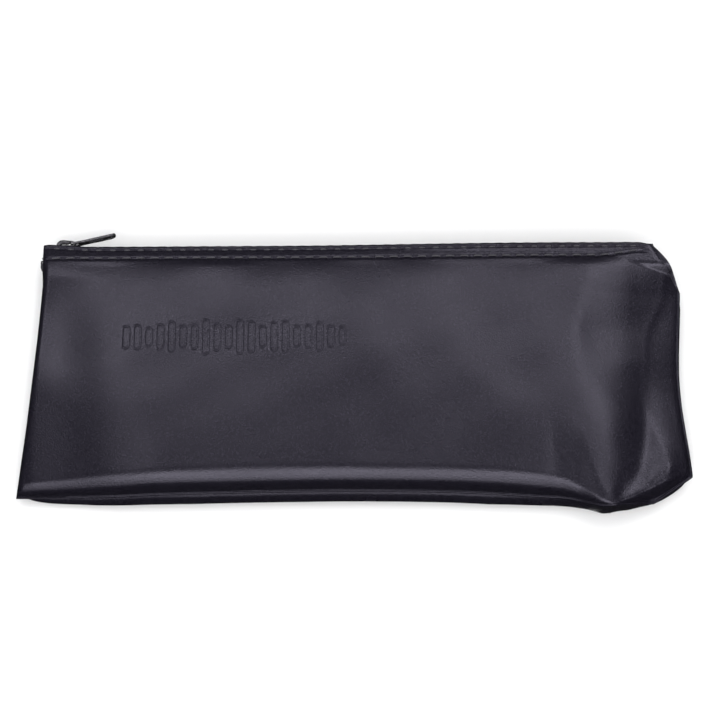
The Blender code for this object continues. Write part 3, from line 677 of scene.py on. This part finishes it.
def back_surface(x, y):
    """Plan positions and height of the back panel's outer face.

    It swells out past the seam before it turns under.
    """
    places = [-125, -112, -95, -60, 50, 78, 88, 95, 104, 112]
    low = np.interp(x, places, [0.4, 1.7, 2.4, 3.0, 3.1, 2.0, 0.6, 0.0, 0.6, 0.9])
    sides = [  # line, roll radius, way out, swell
        (LEFT_LINE, 5.0, (-1.0, -0.06), 0.25),
        (BOTTOM_LINE, 8.5, (0.02, -1.0), low),
        (LOWER_BEVEL_LINE, 8.5, (0.58, -0.81), 0.9),
        (RIGHT_LINE, 8.5, (1.0, 0.0), np.interp(y, [-43, -20, 10, 29], [0.9, 1.3, 1.5, 1.4])),
    ]
    depths = [np.maximum(nearest(x, y, extended(line)) - LIP_WIDTH * 0.8, 0.0) for line, _, _, _ in sides]
    shares = np.stack([np.exp(-depth / 1.6) for depth in depths])
    total = shares.sum(axis=0)
    depth = np.minimum(np.maximum(-1.6 * np.log(total), 0.0), np.minimum.reduce(depths))
    shares = shares / total
    blended = lambda values: sum(share * value for share, value in zip(shares, values))
    radius = blended([side[1] for side in sides])
    swell = blended([side[3] for side in sides])
    way_x = blended([side[2][0] for side in sides])
    way_y = blended([side[2][1] for side in sides])
    length = np.maximum(np.hypot(way_x, way_y), 0.3)
    open_share = smooth_step(NOTCH_FROM_Y - 8.0, HEM_LEVEL_FROM_Y, y)
    stages = [0.0, 0.1, 0.22, 0.36, 0.5, 0.64, 0.78, 0.9, 1.0]
    outward = [0.0, 0.45, 0.85, 1.0, 0.82, 0.3, -0.9, -2.2, -3.2]
    sunk = [0.0, 0.13, 0.34, 0.58, 0.78, 0.92, 0.985, 1.0, 1.0]
    share = np.clip(depth / radius, 0.0, 1.0)
    offset = np.interp(share, stages, outward)
    offset = np.where(offset >= 0, offset * swell, offset / 3.2 * radius)
    move = (depth + offset) * (share < 1.0) * (1 - open_share) / length
    opened = np.ones_like(x)
    for (_, side_radius, _, _), side_depth in zip(sides, depths):
        opened = opened * quarter(side_depth, side_radius)
    roll = mix(np.interp(share, stages, sunk), opened, open_share)
    roll = roll * quarter(nearest(x, y, extended(UPPER_BEVEL_LINE)), 2.4)
    middle = middle_height(x, y)
    lift = edge_lift(y)
    full = mix(middle, HEM_HALF_THICKNESS, smooth_step(18.0, HEM_LEVEL_FROM_Y, y))
    z = middle - lift - (full - lift) * roll
    rim = middle - SEAM_GAP - lip(x, y)
    z = -soft_max(-z, -rim, RIM_BLEND)
    return x + way_x * move, y + way_y * move, z - hem_relief(x, y) * smooth_step(39.5, 40.8, y)


def stations(marks):
    """Grid stations: marks is a list of (place, spacing from there on)."""
    places = []
    for (start, spacing), (end, _) in zip(marks[:-1], marks[1:]):
        count = max(1, round((end - start) / spacing))
        places.extend(np.linspace(start, end, count, endpoint=False))
    places.append(marks[-1][0])
    return np.array(places)


def edge_stations():
    """Grid stations beside an edge, closest together over its lip."""
    lip_stations = [0.0, 0.04, 0.12, 0.24, 0.38, 0.55, 0.72, 0.86, 0.97]
    return np.array(lip_stations + [1.08, 1.2, 1.38, 1.62, 1.95, 2.4, 2.95, 3.6, 4.35])


def column_shares(fine, coarse):
    span = TOP_RIGHT[0] - BOTTOM_LEFT[0]
    edge = edge_stations()
    to_x = lambda x: x - BOTTOM_LEFT[0]
    inner = stations(
        [
            (5.0, coarse),
            (to_x(MARK_LEFT - 7.0), fine),
            (to_x(MARK_RIGHT + 2.0), coarse),
            (span - 5.0, coarse),
        ]
    )
    return np.concatenate([edge, inner, span - edge[::-1]]) / span


def row_shares(fine, coarse, hem):
    span = MOUTH_Y - BOTTOM_LEFT[1]
    to_y = lambda y: y - BOTTOM_LEFT[1]
    inner = stations(
        [
            (5.0, coarse),
            (to_y(MARK_LOW - 2.0), fine),
            (to_y(MARK_HIGH + 2.0), coarse),
            (to_y(30.0), coarse * 0.7),
            (to_y(40.0), hem),
            (to_y(MOUTH_Y - HEM_FOLD_RADIUS), hem),
        ]
    )
    return np.concatenate([edge_stations(), inner]) / span


def fold_rows(x, y, z, side):
    """Rows that carry a panel over the mouth's fold and down the hem's inner layer."""
    rows = []
    wobble = 0.06 * np.cos(2 * math.pi * stitch_phase(x))
    for angle in np.linspace(20.0, 180.0, 9):
        turn = math.radians(angle)
        out = (HEM_FOLD_RADIUS + wobble) * math.sin(turn)
        down = HEM_FOLD_RADIUS * (1 - math.cos(turn))
        rows.append((x, y + out, z - side * down))
    inner_z = z - side * 2 * HEM_FOLD_RADIUS
    for step in np.linspace(0.0, HEM_DEPTH - HEM_FOLD_RADIUS, 8)[1:]:
        rows.append((x, y - step, inner_z))
    return rows


def corner_round(x, y):
    """Rounds the mouth's corner at the roomy end, and lets its edge sag a little near the slider's end."""
    share = smooth_step(103.5, 112.0, x) ** 2 * smooth_step(30.0, MOUTH_Y, y)
    sag = smooth_step(-116.0, -98.0, x) * (1 - smooth_step(-30.0, 70.0, x)) * smooth_step(20.0, MOUTH_Y, y)
    return y - 0.7 * share - 0.9 * sag


def add_panel(name, side, us, vs, surface):
    x, y = plan_grid(us, vs)
    if side > 0:
        px, py, z = x, y, front_surface(x, y)
    else:
        px, py, z = back_surface(x, y)
    rows = [(px[i], py[i], z[i]) for i in range(len(vs))]
    rows += fold_rows(px[-1], py[-1], z[-1], side)
    gx, gy, gz = (np.array([row[k] for row in rows]) for k in range(3))
    gy = corner_round(gx, gy)
    points = np.stack([gx, gy, gz], axis=-1).reshape(-1, 3)
    faces = grid_faces(len(rows), len(us))
    if side < 0:
        faces = [face[::-1] for face in faces]
    panel = add_mesh(name, points, faces, surface)
    edge = panel.modifiers.new("cut_edge", "SOLIDIFY")
    edge.thickness = VINYL * MM
    edge.offset = -1.0
    edge.use_rim_only = True
    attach(panel, "pouch")
    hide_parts(name.replace("_skin", "_panel"))
    return panel


# ---------------------------------------------------------------- stitches


def stitch_shape(length, radius, sides=8):
    """One stitch lying along X with its ends dipping into the holes."""
    places = [-1.0, -0.98, -0.9, -0.76, -0.5, -0.2]
    places = np.array(places + [-place for place in reversed(places)])
    rises = [-0.75, -0.42, -0.05, 0.14, 0.22, 0.24]
    thicks = [0.7, 0.85, 0.95, 1.0, 1.06, 1.08]
    rises = np.array(rises + rises[::-1]) * 1.3
    path = np.stack([places * (length / 2), np.zeros_like(places), rises * radius * 1.4], axis=1)
    return sweep(path, np.array(thicks + thicks[::-1]) * radius, sides)


def stitch_chain(name, places, ways, ups, length, radius, surface, body="pouch"):
    """Many stitches as one piece: each at its place, along its way, with up pointing off the surface."""
    shape, faces = stitch_shape(length, radius)
    parts = []
    for place, way, up in zip(places, ways, ups):
        way = way / np.linalg.norm(way)
        across = np.cross(up, way)
        across /= np.linalg.norm(across)
        lift = np.cross(way, across)
        turn = np.stack([way, across, lift])
        parts.append((place + shape @ turn, faces))
    points, all_faces = joined(parts)
    made = add_mesh(name, points, all_faces, surface)
    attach(made, body)
    return made


def add_hem_stitches(surface):
    first = TOP_LEFT[0] + 2.5
    count = int((TOP_RIGHT[0] - 2.0 - first) / STITCH_PITCH)
    panels = ((1, "front", front_surface), (-1, "back", lambda x, y: back_surface(x, y)[2]))
    hem_rows = (("upper", lambda x: np.full_like(x, UPPER_STITCH_Y), 0.34), ("lower", lower_row_y, 0.52))
    for side, panel, height in panels:
        for row, row_y, share in hem_rows:
            x = first + (np.arange(count) + 0.5) * STITCH_PITCH
            y = row_y(x)
            z = height(x[None], y[None])[0]
            ahead = row_y(x + 1.0) - row_y(x - 1.0)
            places = np.stack([x, corner_round(x, y), z + side * 0.05], axis=1)
            ways = np.stack([np.full_like(x, 2.0), ahead, np.full_like(x, 2.0 * ZIP_SLOPE)], axis=1)
            ups = np.tile([0.0, 0.0, float(side)], (count, 1))
            name = f"{panel}_hem_{row}_stitches"
            made = stitch_chain(name, places, ways, ups, STITCH_PITCH * share, 0.29, surface)
            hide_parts(f"{panel}_hem_{row}_thread")


def add_seam_stitches(surface):
    """Lockstitches through the seam allowances, inside the pouch."""
    seams = {
        "left_seam": LEFT_LINE[::-1],
        "bottom_seam": BOTTOM_LINE,
        "corner_seam": LOWER_BEVEL_LINE,
        "right_seam": RIGHT_LINE,
    }
    for name, line in seams.items():
        length = reaches(line)[-1]
        margin = 14.0 / length if name == "left_seam" else 3.0 / length
        count = int(length * (1 - 2 * margin) / 3.2)
        shares = np.linspace(margin, 1 - margin, count)
        at = along(line, shares)
        ahead = along(line, np.clip(shares + 0.01, 0, 1)) - along(line, np.clip(shares - 0.01, 0, 1))
        ahead /= np.linalg.norm(ahead, axis=1)[:, None]
        inside = at + np.stack([-ahead[:, 1], ahead[:, 0]], axis=1) * 2.2
        z = middle_height(inside[:, 0], inside[:, 1])
        places = np.stack([inside[:, 0], inside[:, 1], z], axis=1)
        ways = np.stack([ahead[:, 0], ahead[:, 1], np.zeros(count)], axis=1)
        ups = np.tile([0.0, 0.0, 1.0], (count, 1))
        made = stitch_chain(f"{name}_stitches", places, ways, ups, 2.9, 0.2, surface)
        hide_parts(f"{name}_thread")


# ---------------------------------------------------------------- zip


def zip_frame(points):
    """Points given along the zip, out of the mouth and across its thickness, put in the pouch's frame."""
    points = np.asarray(points, dtype=float)
    tilt = math.atan(ZIP_SLOPE)
    x = points[..., 0] * math.cos(tilt) - points[..., 2] * math.sin(tilt)
    z = points[..., 0] * math.sin(tilt) + points[..., 2] * math.cos(tilt)
    return np.stack([x, points[..., 1] + COIL_Y, z + zip_height(0.0)], axis=-1)


def chain_line(spacing=0.5):
    """The zip's middle line with its ways out and along, as (point, out, way) arrays in the zip's frame."""
    corner = np.radians(np.arange(0, 91, 6.0))
    points, outs = [], []
    for y in np.arange(-BEND_RADIUS - END_DROP, -BEND_RADIUS, spacing):
        points.append((LEFT_BEND_X - BEND_RADIUS, y))
        outs.append((-1.0, 0.0))
    for a in corner:
        out = (-math.cos(a), math.sin(a))
        points.append((LEFT_BEND_X + out[0] * BEND_RADIUS, -BEND_RADIUS + out[1] * BEND_RADIUS))
        outs.append(out)
    for x in np.arange(LEFT_BEND_X + spacing, RIGHT_BEND_X, spacing):
        points.append((x, 0.0))
        outs.append((0.0, 1.0))
    for a in corner[::-1]:
        out = (math.cos(a), math.sin(a))
        points.append((RIGHT_BEND_X + out[0] * BEND_RADIUS, -BEND_RADIUS + out[1] * BEND_RADIUS))
        outs.append(out)
    for y in np.arange(-BEND_RADIUS, -BEND_RADIUS - END_DROP, -spacing)[1:]:
        points.append((RIGHT_BEND_X + BEND_RADIUS, y))
        outs.append((1.0, 0.0))
    return np.array(points), np.array(outs)


def on_chain(lengths, line, outs):
    reach = reaches(line)
    at = np.stack([np.interp(lengths, reach, line[:, k]) for k in range(2)], axis=-1)
    out = np.stack([np.interp(lengths, reach, outs[:, k]) for k in range(2)], axis=-1)
    return at, out / np.linalg.norm(out, axis=1)[:, None], reach[-1]


def add_coil(name, side, surface):
    """A coil of flattened turns whose heads reach towards the other coil's."""
    line, outs = chain_line()
    total = on_chain(np.array([0.0]), line, outs)[2]
    turns = int(total / COIL_PITCH)
    phase = np.arange(turns * COIL_STEPS + 1) / COIL_STEPS
    lengths = (phase + (0.5 if side > 0 else 0.0)) * COIL_PITCH
    lengths = np.clip(lengths, 0.0, total)
    at, out, _ = on_chain(lengths, line, outs)
    angle = 2 * math.pi * phase
    squared = lambda v: np.sign(v) * np.abs(v) ** 0.72
    across = COIL_OFFSET - 0.18 + 0.75 * squared(np.cos(angle))
    rise = 0.58 * squared(np.sin(angle)) - 0.02
    points = np.stack([at[:, 0] + out[:, 0] * rise, at[:, 1] + out[:, 1] * rise, side * across], axis=1)
    heads = 1.0 + 0.22 * np.clip(-np.cos(angle), 0, 1) ** 3
    mesh_points, faces = sweep(zip_frame(points), 0.235 * heads, 7)
    coil = add_mesh(name + "_turns", mesh_points, faces, surface)
    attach(coil, "pouch")
    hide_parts(name)


def add_coil_cord(name, side, surface):
    line, _ = chain_line(1.0)
    points = np.stack([line[:, 0], line[:, 1], np.full(len(line), side * (COIL_OFFSET - 0.1))], axis=1)
    mesh_points, faces = sweep(zip_frame(points), 0.24, 7)
    cord = add_mesh(name + "_yarn", mesh_points, faces, surface)
    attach(cord, "pouch")
    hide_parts(name)


def add_tape(name, side, surface):
    """A tape: a flat strip under its coil, bent down into a skirt inside the hem."""
    line, outs = chain_line(1.5)
    sections = []
    for (x, y), (ox, oy) in zip(line, outs):
        flat = oy > 0.999
        wide = 3.6 if flat else 2.45 + oy * 0.9
        skirt = 10.2 if flat else 0.5
        curve = [(0.72, -1.02), (1.6, -1.0), (wide - 0.45, -1.0), (wide - 0.12, -1.12), (wide, -1.4)]
        curve += [(wide, -1.4 - skirt * 0.5), (wide, -1.4 - skirt)]
        curve += [(wide - 0.34, -1.4 - skirt), (wide - 0.34, -1.4 - skirt * 0.5)]
        curve += [(wide - 0.34, -1.55), (wide - 0.5, -1.36), (1.6, -1.36), (0.72, -1.36)]
        sections.append([(x + ox * depth, y + oy * depth, side * across) for across, depth in curve])
    sections = np.array(sections)
    count = sections.shape[1]
    faces = bar_faces(len(sections), count)
    if side < 0:
        faces = [face[::-1] for face in faces]
    tape = add_mesh(name + "_weave", zip_frame(sections).reshape(-1, 3), faces, surface, smooth=False)
    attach(tape, "pouch")
    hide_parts(name)


def add_bar_tack(name, bend_x, way, surface):
    """Close turns of thread over both coils and round the tape's edges."""
    strands = []
    outer = bend_x + way * (BEND_RADIUS + 0.98)
    inner = bend_x + way * (BEND_RADIUS + 0.35)
    for k in range(9):
        y = -BEND_RADIUS - 1.2 - k * 0.27
        lean = 0.12 * math.sin(k * 2.1)
        path = [
            (inner, y, -2.75),
            (outer - way * 0.12, y + lean, -2.5),
            (outer, y + lean, -1.2),
            (outer + way * 0.02, y - lean, 0.0),
            (outer, y, 1.2),
            (outer - way * 0.12, y + lean, 2.5),
            (inner, y, 2.75),
        ]
        strands.append(sweep(zip_frame(path), 0.16, 7))
    points, faces = joined(strands)
    tack = add_mesh(name + "_strands", points, faces, surface)
    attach(tack, "pouch")
    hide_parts(name)


# ---------------------------------------------------------------- slider and pull


def rounded_outline(points, radius, steps=5):
    """A closed outline with its corners rounded. radius is one number or one for each corner."""
    points = [np.array(p, dtype=float) for p in points]
    radii = radius if isinstance(radius, (list, tuple)) else [radius] * len(points)
    made = []
    for i, point in enumerate(points):
        before = points[i - 1] - point
        after = points[(i + 1) % len(points)] - point
        reach = min(radii[i], np.linalg.norm(before) * 0.49, np.linalg.norm(after) * 0.49)
        a = point + before / np.linalg.norm(before) * reach
        b = point + after / np.linalg.norm(after) * reach
        for t in np.linspace(0.0, 1.0, steps + 1):
            made.append((1 - t) ** 2 * a + 2 * t * (1 - t) * point + t**2 * b)
    return np.array(made)


def plate(outline, low, high, bevel, crown=0.0):
    """A plate of this outline in X and Z between two heights in Y, with rounded rims."""
    centre = outline.mean(axis=0)
    layers = []
    rim = [(0.0, bevel), (bevel * 0.3, bevel * 0.3), (bevel, 0.0)]
    for lift, inset in rim:
        layers.append((low + lift, inset))
    for lift, inset in reversed(rim):
        layers.append((high - lift, inset))
    count = len(outline)
    points = []
    for height, inset in layers:
        ways = centre - outline
        size = np.linalg.norm(ways, axis=1)[:, None]
        ring = outline + ways / size * inset
        points.extend([(p[0], height, p[1]) for p in ring])
    inner = outline + (centre - outline) * 0.45
    points.extend([(p[0], high + crown * 0.75, p[1]) for p in inner])
    points.append((centre[0], high + crown, centre[1]))
    points.append((centre[0], low, centre[1]))
    rings = len(layers) + 1
    faces = ring_faces(rings, count)
    top, bottom = len(points) - 2, len(points) - 1
    last = (rings - 1) * count
    for s in range(count):
        faces.append((last + s, last + (s + 1) % count, top))
        faces.append(((s + 1) % count, s, bottom))
    return np.array(points), faces


def flat_bar(path, widths, thicks):
    """A bar of rounded rectangular section along a path in X and Y. Widths lie across Z."""
    path = np.asarray(path, dtype=float)
    ways = np.gradient(path, axis=0)
    ways /= np.linalg.norm(ways, axis=1)[:, None]
    section = [(-1, -0.55), (-1, 0.55), (-0.72, 1), (0.72, 1), (1, 0.55), (1, -0.55), (0.72, -1), (-0.72, -1)]
    points = []
    for (x, y), (wx, wy), width, thick in zip(path, ways, widths, thicks):
        for across, up in section:
            points.append((x - wy * up * thick / 2, y + wx * up * thick / 2, across * width / 2))
    return np.array(points), bar_faces(len(path), len(section))


def add_slider(surface):
    """Upper and lower wings, side flanges, divider post and the arched bridge."""
    half, wide = WING_HALF_LENGTH, WING_HALF_WIDTH
    nose, tail = WING_NOSE_HALF_WIDTH, WING_TAIL_HALF_WIDTH
    corners = [(-half, -nose), (-half + 1.3, -wide), (1.2, -wide), (half, -tail)]
    corners += [(x, -z) for x, z in reversed(corners)]
    outline = rounded_outline(corners, 0.9)
    upper = plate(outline, 1.05, 1.78, 0.22, crown=0.17)
    lower = plate(outline[::-1], 1.65, 2.4, 0.22, crown=0.12)
    lower = (lower[0] * [1, -1, 1], lower[1])
    post_outline = rounded_outline([(-3.75, -0.4), (-1.75, -0.4), (-1.75, 0.4), (-3.75, 0.4)], 0.3)
    post = plate(post_outline, -1.8, 1.2, 0.05)
    flanges = []
    for side in (-1, 1):
        block = [(-2.7, side * 2.56), (1.3, side * 2.56), (1.3, side * 3.06), (-2.7, side * 3.06)]
        if side > 0:
            block = block[::-1]
        flanges.append(plate(rounded_outline(block, 0.2), -0.74, 1.3, 0.12))
    arch = [(-3.45, 1.3), (-3.42, 2.35), (-3.25, 3.2), (-2.8, 3.85), (-2.1, 4.2), (-1.2, 4.3), (-0.2, 4.22)]
    arch += [(0.9, 4.1), (1.8, 4.0), (2.5, 3.82), (2.95, 3.35), (3.1, 2.6), (3.12, 1.3)]
    arch = through(arch, BRIDGE_STEPS)
    shares = np.linspace(0, 1, BRIDGE_STEPS)
    widths = np.interp(shares, [0, 0.2, 0.45, 0.8, 1], [1.9, 1.55, 1.4, 1.5, 1.9])
    thicks = np.interp(shares, [0, 0.15, 0.5, 0.66, 1], [0.8, 1.45, 1.45, 0.72, 0.72])
    arch[:, 1] -= (thicks - 0.72) / 2 * np.sin(np.linspace(0, math.pi, BRIDGE_STEPS))
    bridge = flat_bar(arch, widths, thicks)
    points, faces = joined([upper, lower, post, *flanges, bridge])
    points = zip_frame(points + [SLIDER_X, 0, 0])
    slider = add_mesh("slider_casting", points, faces, surface)
    slider.data.set_sharp_from_angle(angle=math.radians(48))
    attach(slider, "slider")
    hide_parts("slider_body")


def add_pull(surface):
    """The pull tab: a ring under the bridge, a waist, and a long paddle with raised pads and a tip hole."""
    pivot_x = SLIDER_X + BRIDGE_HALF_LENGTH - BRIDGE_BAR - PULL_EYE_REACH
    pivot_y = COIL_RADIUS + RUNNING_GAP + WING_THICKNESS + PULL_EYE_REACH
    pivot = np.array([pivot_x, pivot_y, 0.0])
    wide = PULL_HALF_WIDTH
    corners = [(-0.45, -wide), (3.4, -wide), (5.0, -PULL_WAIST_HALF_WIDTH), (PULL_LENGTH, -wide)]
    corners += [(x, -z) for x, z in reversed(corners)]
    radii = [0.5, 1.0, 1.5, 1.8]
    outline = rounded_outline(corners, radii + radii[::-1], 6)
    hole = rounded_outline([(0.42, -1.07), (2.55, -1.07), (2.55, 1.07), (0.42, 1.07)], 0.35, 6)
    bore_turns = np.linspace(0, 2 * math.pi, 20, endpoint=False)
    bore_x = PULL_LENGTH - TIP_HOLE_INSET + TIP_HOLE_RADIUS * np.cos(bore_turns)
    bore = np.stack([bore_x, TIP_HOLE_RADIUS * np.sin(bore_turns)], axis=1)
    curve = bpy.data.curves.new("pull_outline", "CURVE")
    curve.dimensions = "2D"
    curve.fill_mode = "BOTH"
    curve.extrude = PULL_HALF_CORE * MM
    curve.bevel_depth = PULL_EDGE_BEVEL * MM
    curve.bevel_resolution = 2
    curve.offset = -PULL_EDGE_BEVEL * MM
    for ring in (outline, hole, bore):
        spline = curve.splines.new("POLY")
        spline.points.add(len(ring) - 1)
        for spot, (px, py) in zip(spline.points, ring):
            spot.co = (px * MM, py * MM, 0.0, 1.0)
        spline.use_cyclic_u = True
    made = bpy.data.objects.new("pull_outline", curve)
    put(made)
    graph = bpy.context.evaluated_depsgraph_get()
    mesh = bpy.data.meshes.new_from_object(made.evaluated_get(graph))
    flat = np.empty(len(mesh.vertices) * 3)
    mesh.vertices.foreach_get("co", flat)
    flat = flat.reshape(-1, 3) / MM
    bpy.data.objects.remove(made)
    pad_outline = rounded_outline([(6.2, -0.85), (12.6, -1.0), (12.6, 1.0), (6.2, 0.85)], 0.8)
    pad_points, pad_faces = plate(pad_outline[::-1], 0.34, 0.60, 0.12)
    raised = [(pad_points, pad_faces), (pad_points * [1, -1, 1], [face[::-1] for face in pad_faces])]
    faces = [tuple(poly.vertices) for poly in mesh.polygons]
    body = np.stack([flat[:, 0], flat[:, 2], -flat[:, 1]], axis=1)
    points, faces = joined([(body, faces), *raised])
    points[:, 1] += 0.5 * np.clip((points[:, 0] - TIP_BEND_FROM) / 5.6, 0, 1) ** 2
    cos, sin = math.cos(PULL_REST_ANGLE), math.sin(PULL_REST_ANGLE)
    turned_x = points[:, 0] * cos - points[:, 1] * sin
    turned_y = points[:, 0] * sin + points[:, 1] * cos
    points = np.stack([turned_x, turned_y, points[:, 2]], axis=1) + pivot
    pull = add_mesh("pull_paddle", zip_frame(points), faces, surface)
    pull.data.set_sharp_from_angle(angle=math.radians(40))
    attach(pull, "pull")
    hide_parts("pull_tab")


# ---------------------------------------------------------------- studio


class Sky:
    """Studio light as a soft pattern of panels far away, which the vinyl reflects without hard edges."""

    def __init__(self):
        self.world = bpy.data.worlds.new("studio")
        self.world.use_nodes = True
        self.tree = self.world.node_tree
        place = self.tree.nodes.new("ShaderNodeTexCoord")
        split = self.tree.nodes.new("ShaderNodeSeparateXYZ")
        self.tree.links.new(place.outputs["Generated"], split.inputs[0])
        self.up = split.outputs["Z"]
        height = self.math("MAXIMUM", self.up, 0.04)
        self.east = self.math("DIVIDE", split.outputs["X"], height)
        self.north = self.math("DIVIDE", split.outputs["Y"], height)

    def math(self, operation, first, second=0.0):
        node = self.tree.nodes.new("ShaderNodeMath")
        node.operation = operation
        for socket, value in zip(node.inputs, (first, second)):
            if isinstance(value, bpy.types.NodeSocket):
                self.tree.links.new(value, socket)
            else:
                socket.default_value = value
        return node.outputs[0]

    def panel(self, radiance, lean, width):
        """A soft panel: lean is its angle from straight up towards +X and +Y, and width its half-widths."""
        total = 0.0
        for axis, angle, wide in zip((self.east, self.north), lean, width):
            off = self.math("DIVIDE", self.math("SUBTRACT", axis, math.tan(math.radians(angle))), wide)
            total = self.math("ADD", self.math("MULTIPLY", off, off), total)
        return self.math("MULTIPLY", self.math("EXPONENT", self.math("MULTIPLY", total, -1.0)), radiance)

    def room(self, below, above):
        """A dim room."""
        rise = self.tree.nodes.new("ShaderNodeMapRange")
        self.tree.links.new(self.up, rise.inputs[0])
        for index, value in zip(range(1, 5), (-0.15, 0.2, below, above)):
            rise.inputs[index].default_value = value
        return rise.outputs[0]

    def finish(self, parts, backdrop):
        total = parts[0]
        for part in parts[1:]:
            total = self.math("ADD", total, part)
        seen = self.tree.nodes.new("ShaderNodeLightPath")
        choice = self.tree.nodes.new("ShaderNodeMix")
        self.tree.links.new(seen.outputs["Is Camera Ray"], choice.inputs["Factor"])
        self.tree.links.new(total, choice.inputs[2])
        choice.inputs[3].default_value = backdrop
        back = self.tree.nodes["Background"]
        self.tree.links.new(choice.outputs[0], back.inputs["Strength"])
        back.inputs["Color"].default_value = (1.0, 1.0, 1.0, 1.0)
        bpy.context.scene.world = self.world


def add_studio():
    mesh = bpy.data.meshes.new("floor")
    size = FLOOR_SIZE
    corners = [(-size, -size, 0), (size, -size, 0), (size, size, 0), (-size, size, 0)]
    mesh.from_pydata(corners, [], [(0, 1, 2, 3)])
    floor = bpy.data.objects.new("floor", mesh)
    floor.location = (0, 0, -FLOOR_DROP)
    put(floor)
    mesh.materials.append(floor_material())
    floor.visible_glossy = False
    sky = Sky()
    sky.finish([sky.room(*SKY_ROOM)] + [sky.panel(*panel) for panel in SKY_PANELS], BACKDROP)
    light = bpy.data.lights.new("floor_light", "SUN")
    light.energy = 2.2
    light.angle = math.radians(120.0)
    sun = bpy.data.objects.new("floor_light", light)
    put(sun)
    sun.visible_glossy = False
    bpy.context.scene.view_settings.view_transform = "Standard"


def main():
    add_camera()
    vinyl = vinyl_material()
    thread = thread_material()
    tape = tape_material()
    nylon = coil_material()
    metal = metal_material()
    fine, coarse = ((0.3, 0.85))
    columns = column_shares(fine, coarse)
    rows = row_shares(fine, coarse, 0.27)
    add_panel("front_skin", 1, columns, rows, vinyl)
    back_columns = column_shares(coarse, coarse)
    back_rows = row_shares(coarse, coarse, 0.4)
    add_panel("back_skin", -1, back_columns, back_rows, vinyl)
    add_hem_stitches(thread)
    add_seam_stitches(thread)
    for side, panel in ((1, "front"), (-1, "back")):
        add_tape(f"{panel}_zip_tape", side, tape)
        add_coil(f"{panel}_coil", side, nylon)
        add_coil_cord(f"{panel}_coil_cord", side, thread)
    add_bar_tack("left_bar_tack", LEFT_BEND_X, -1, thread)
    add_bar_tack("right_bar_tack", RIGHT_BEND_X, 1, thread)
    add_slider(metal)
    add_pull(metal)
    add_studio()


main()
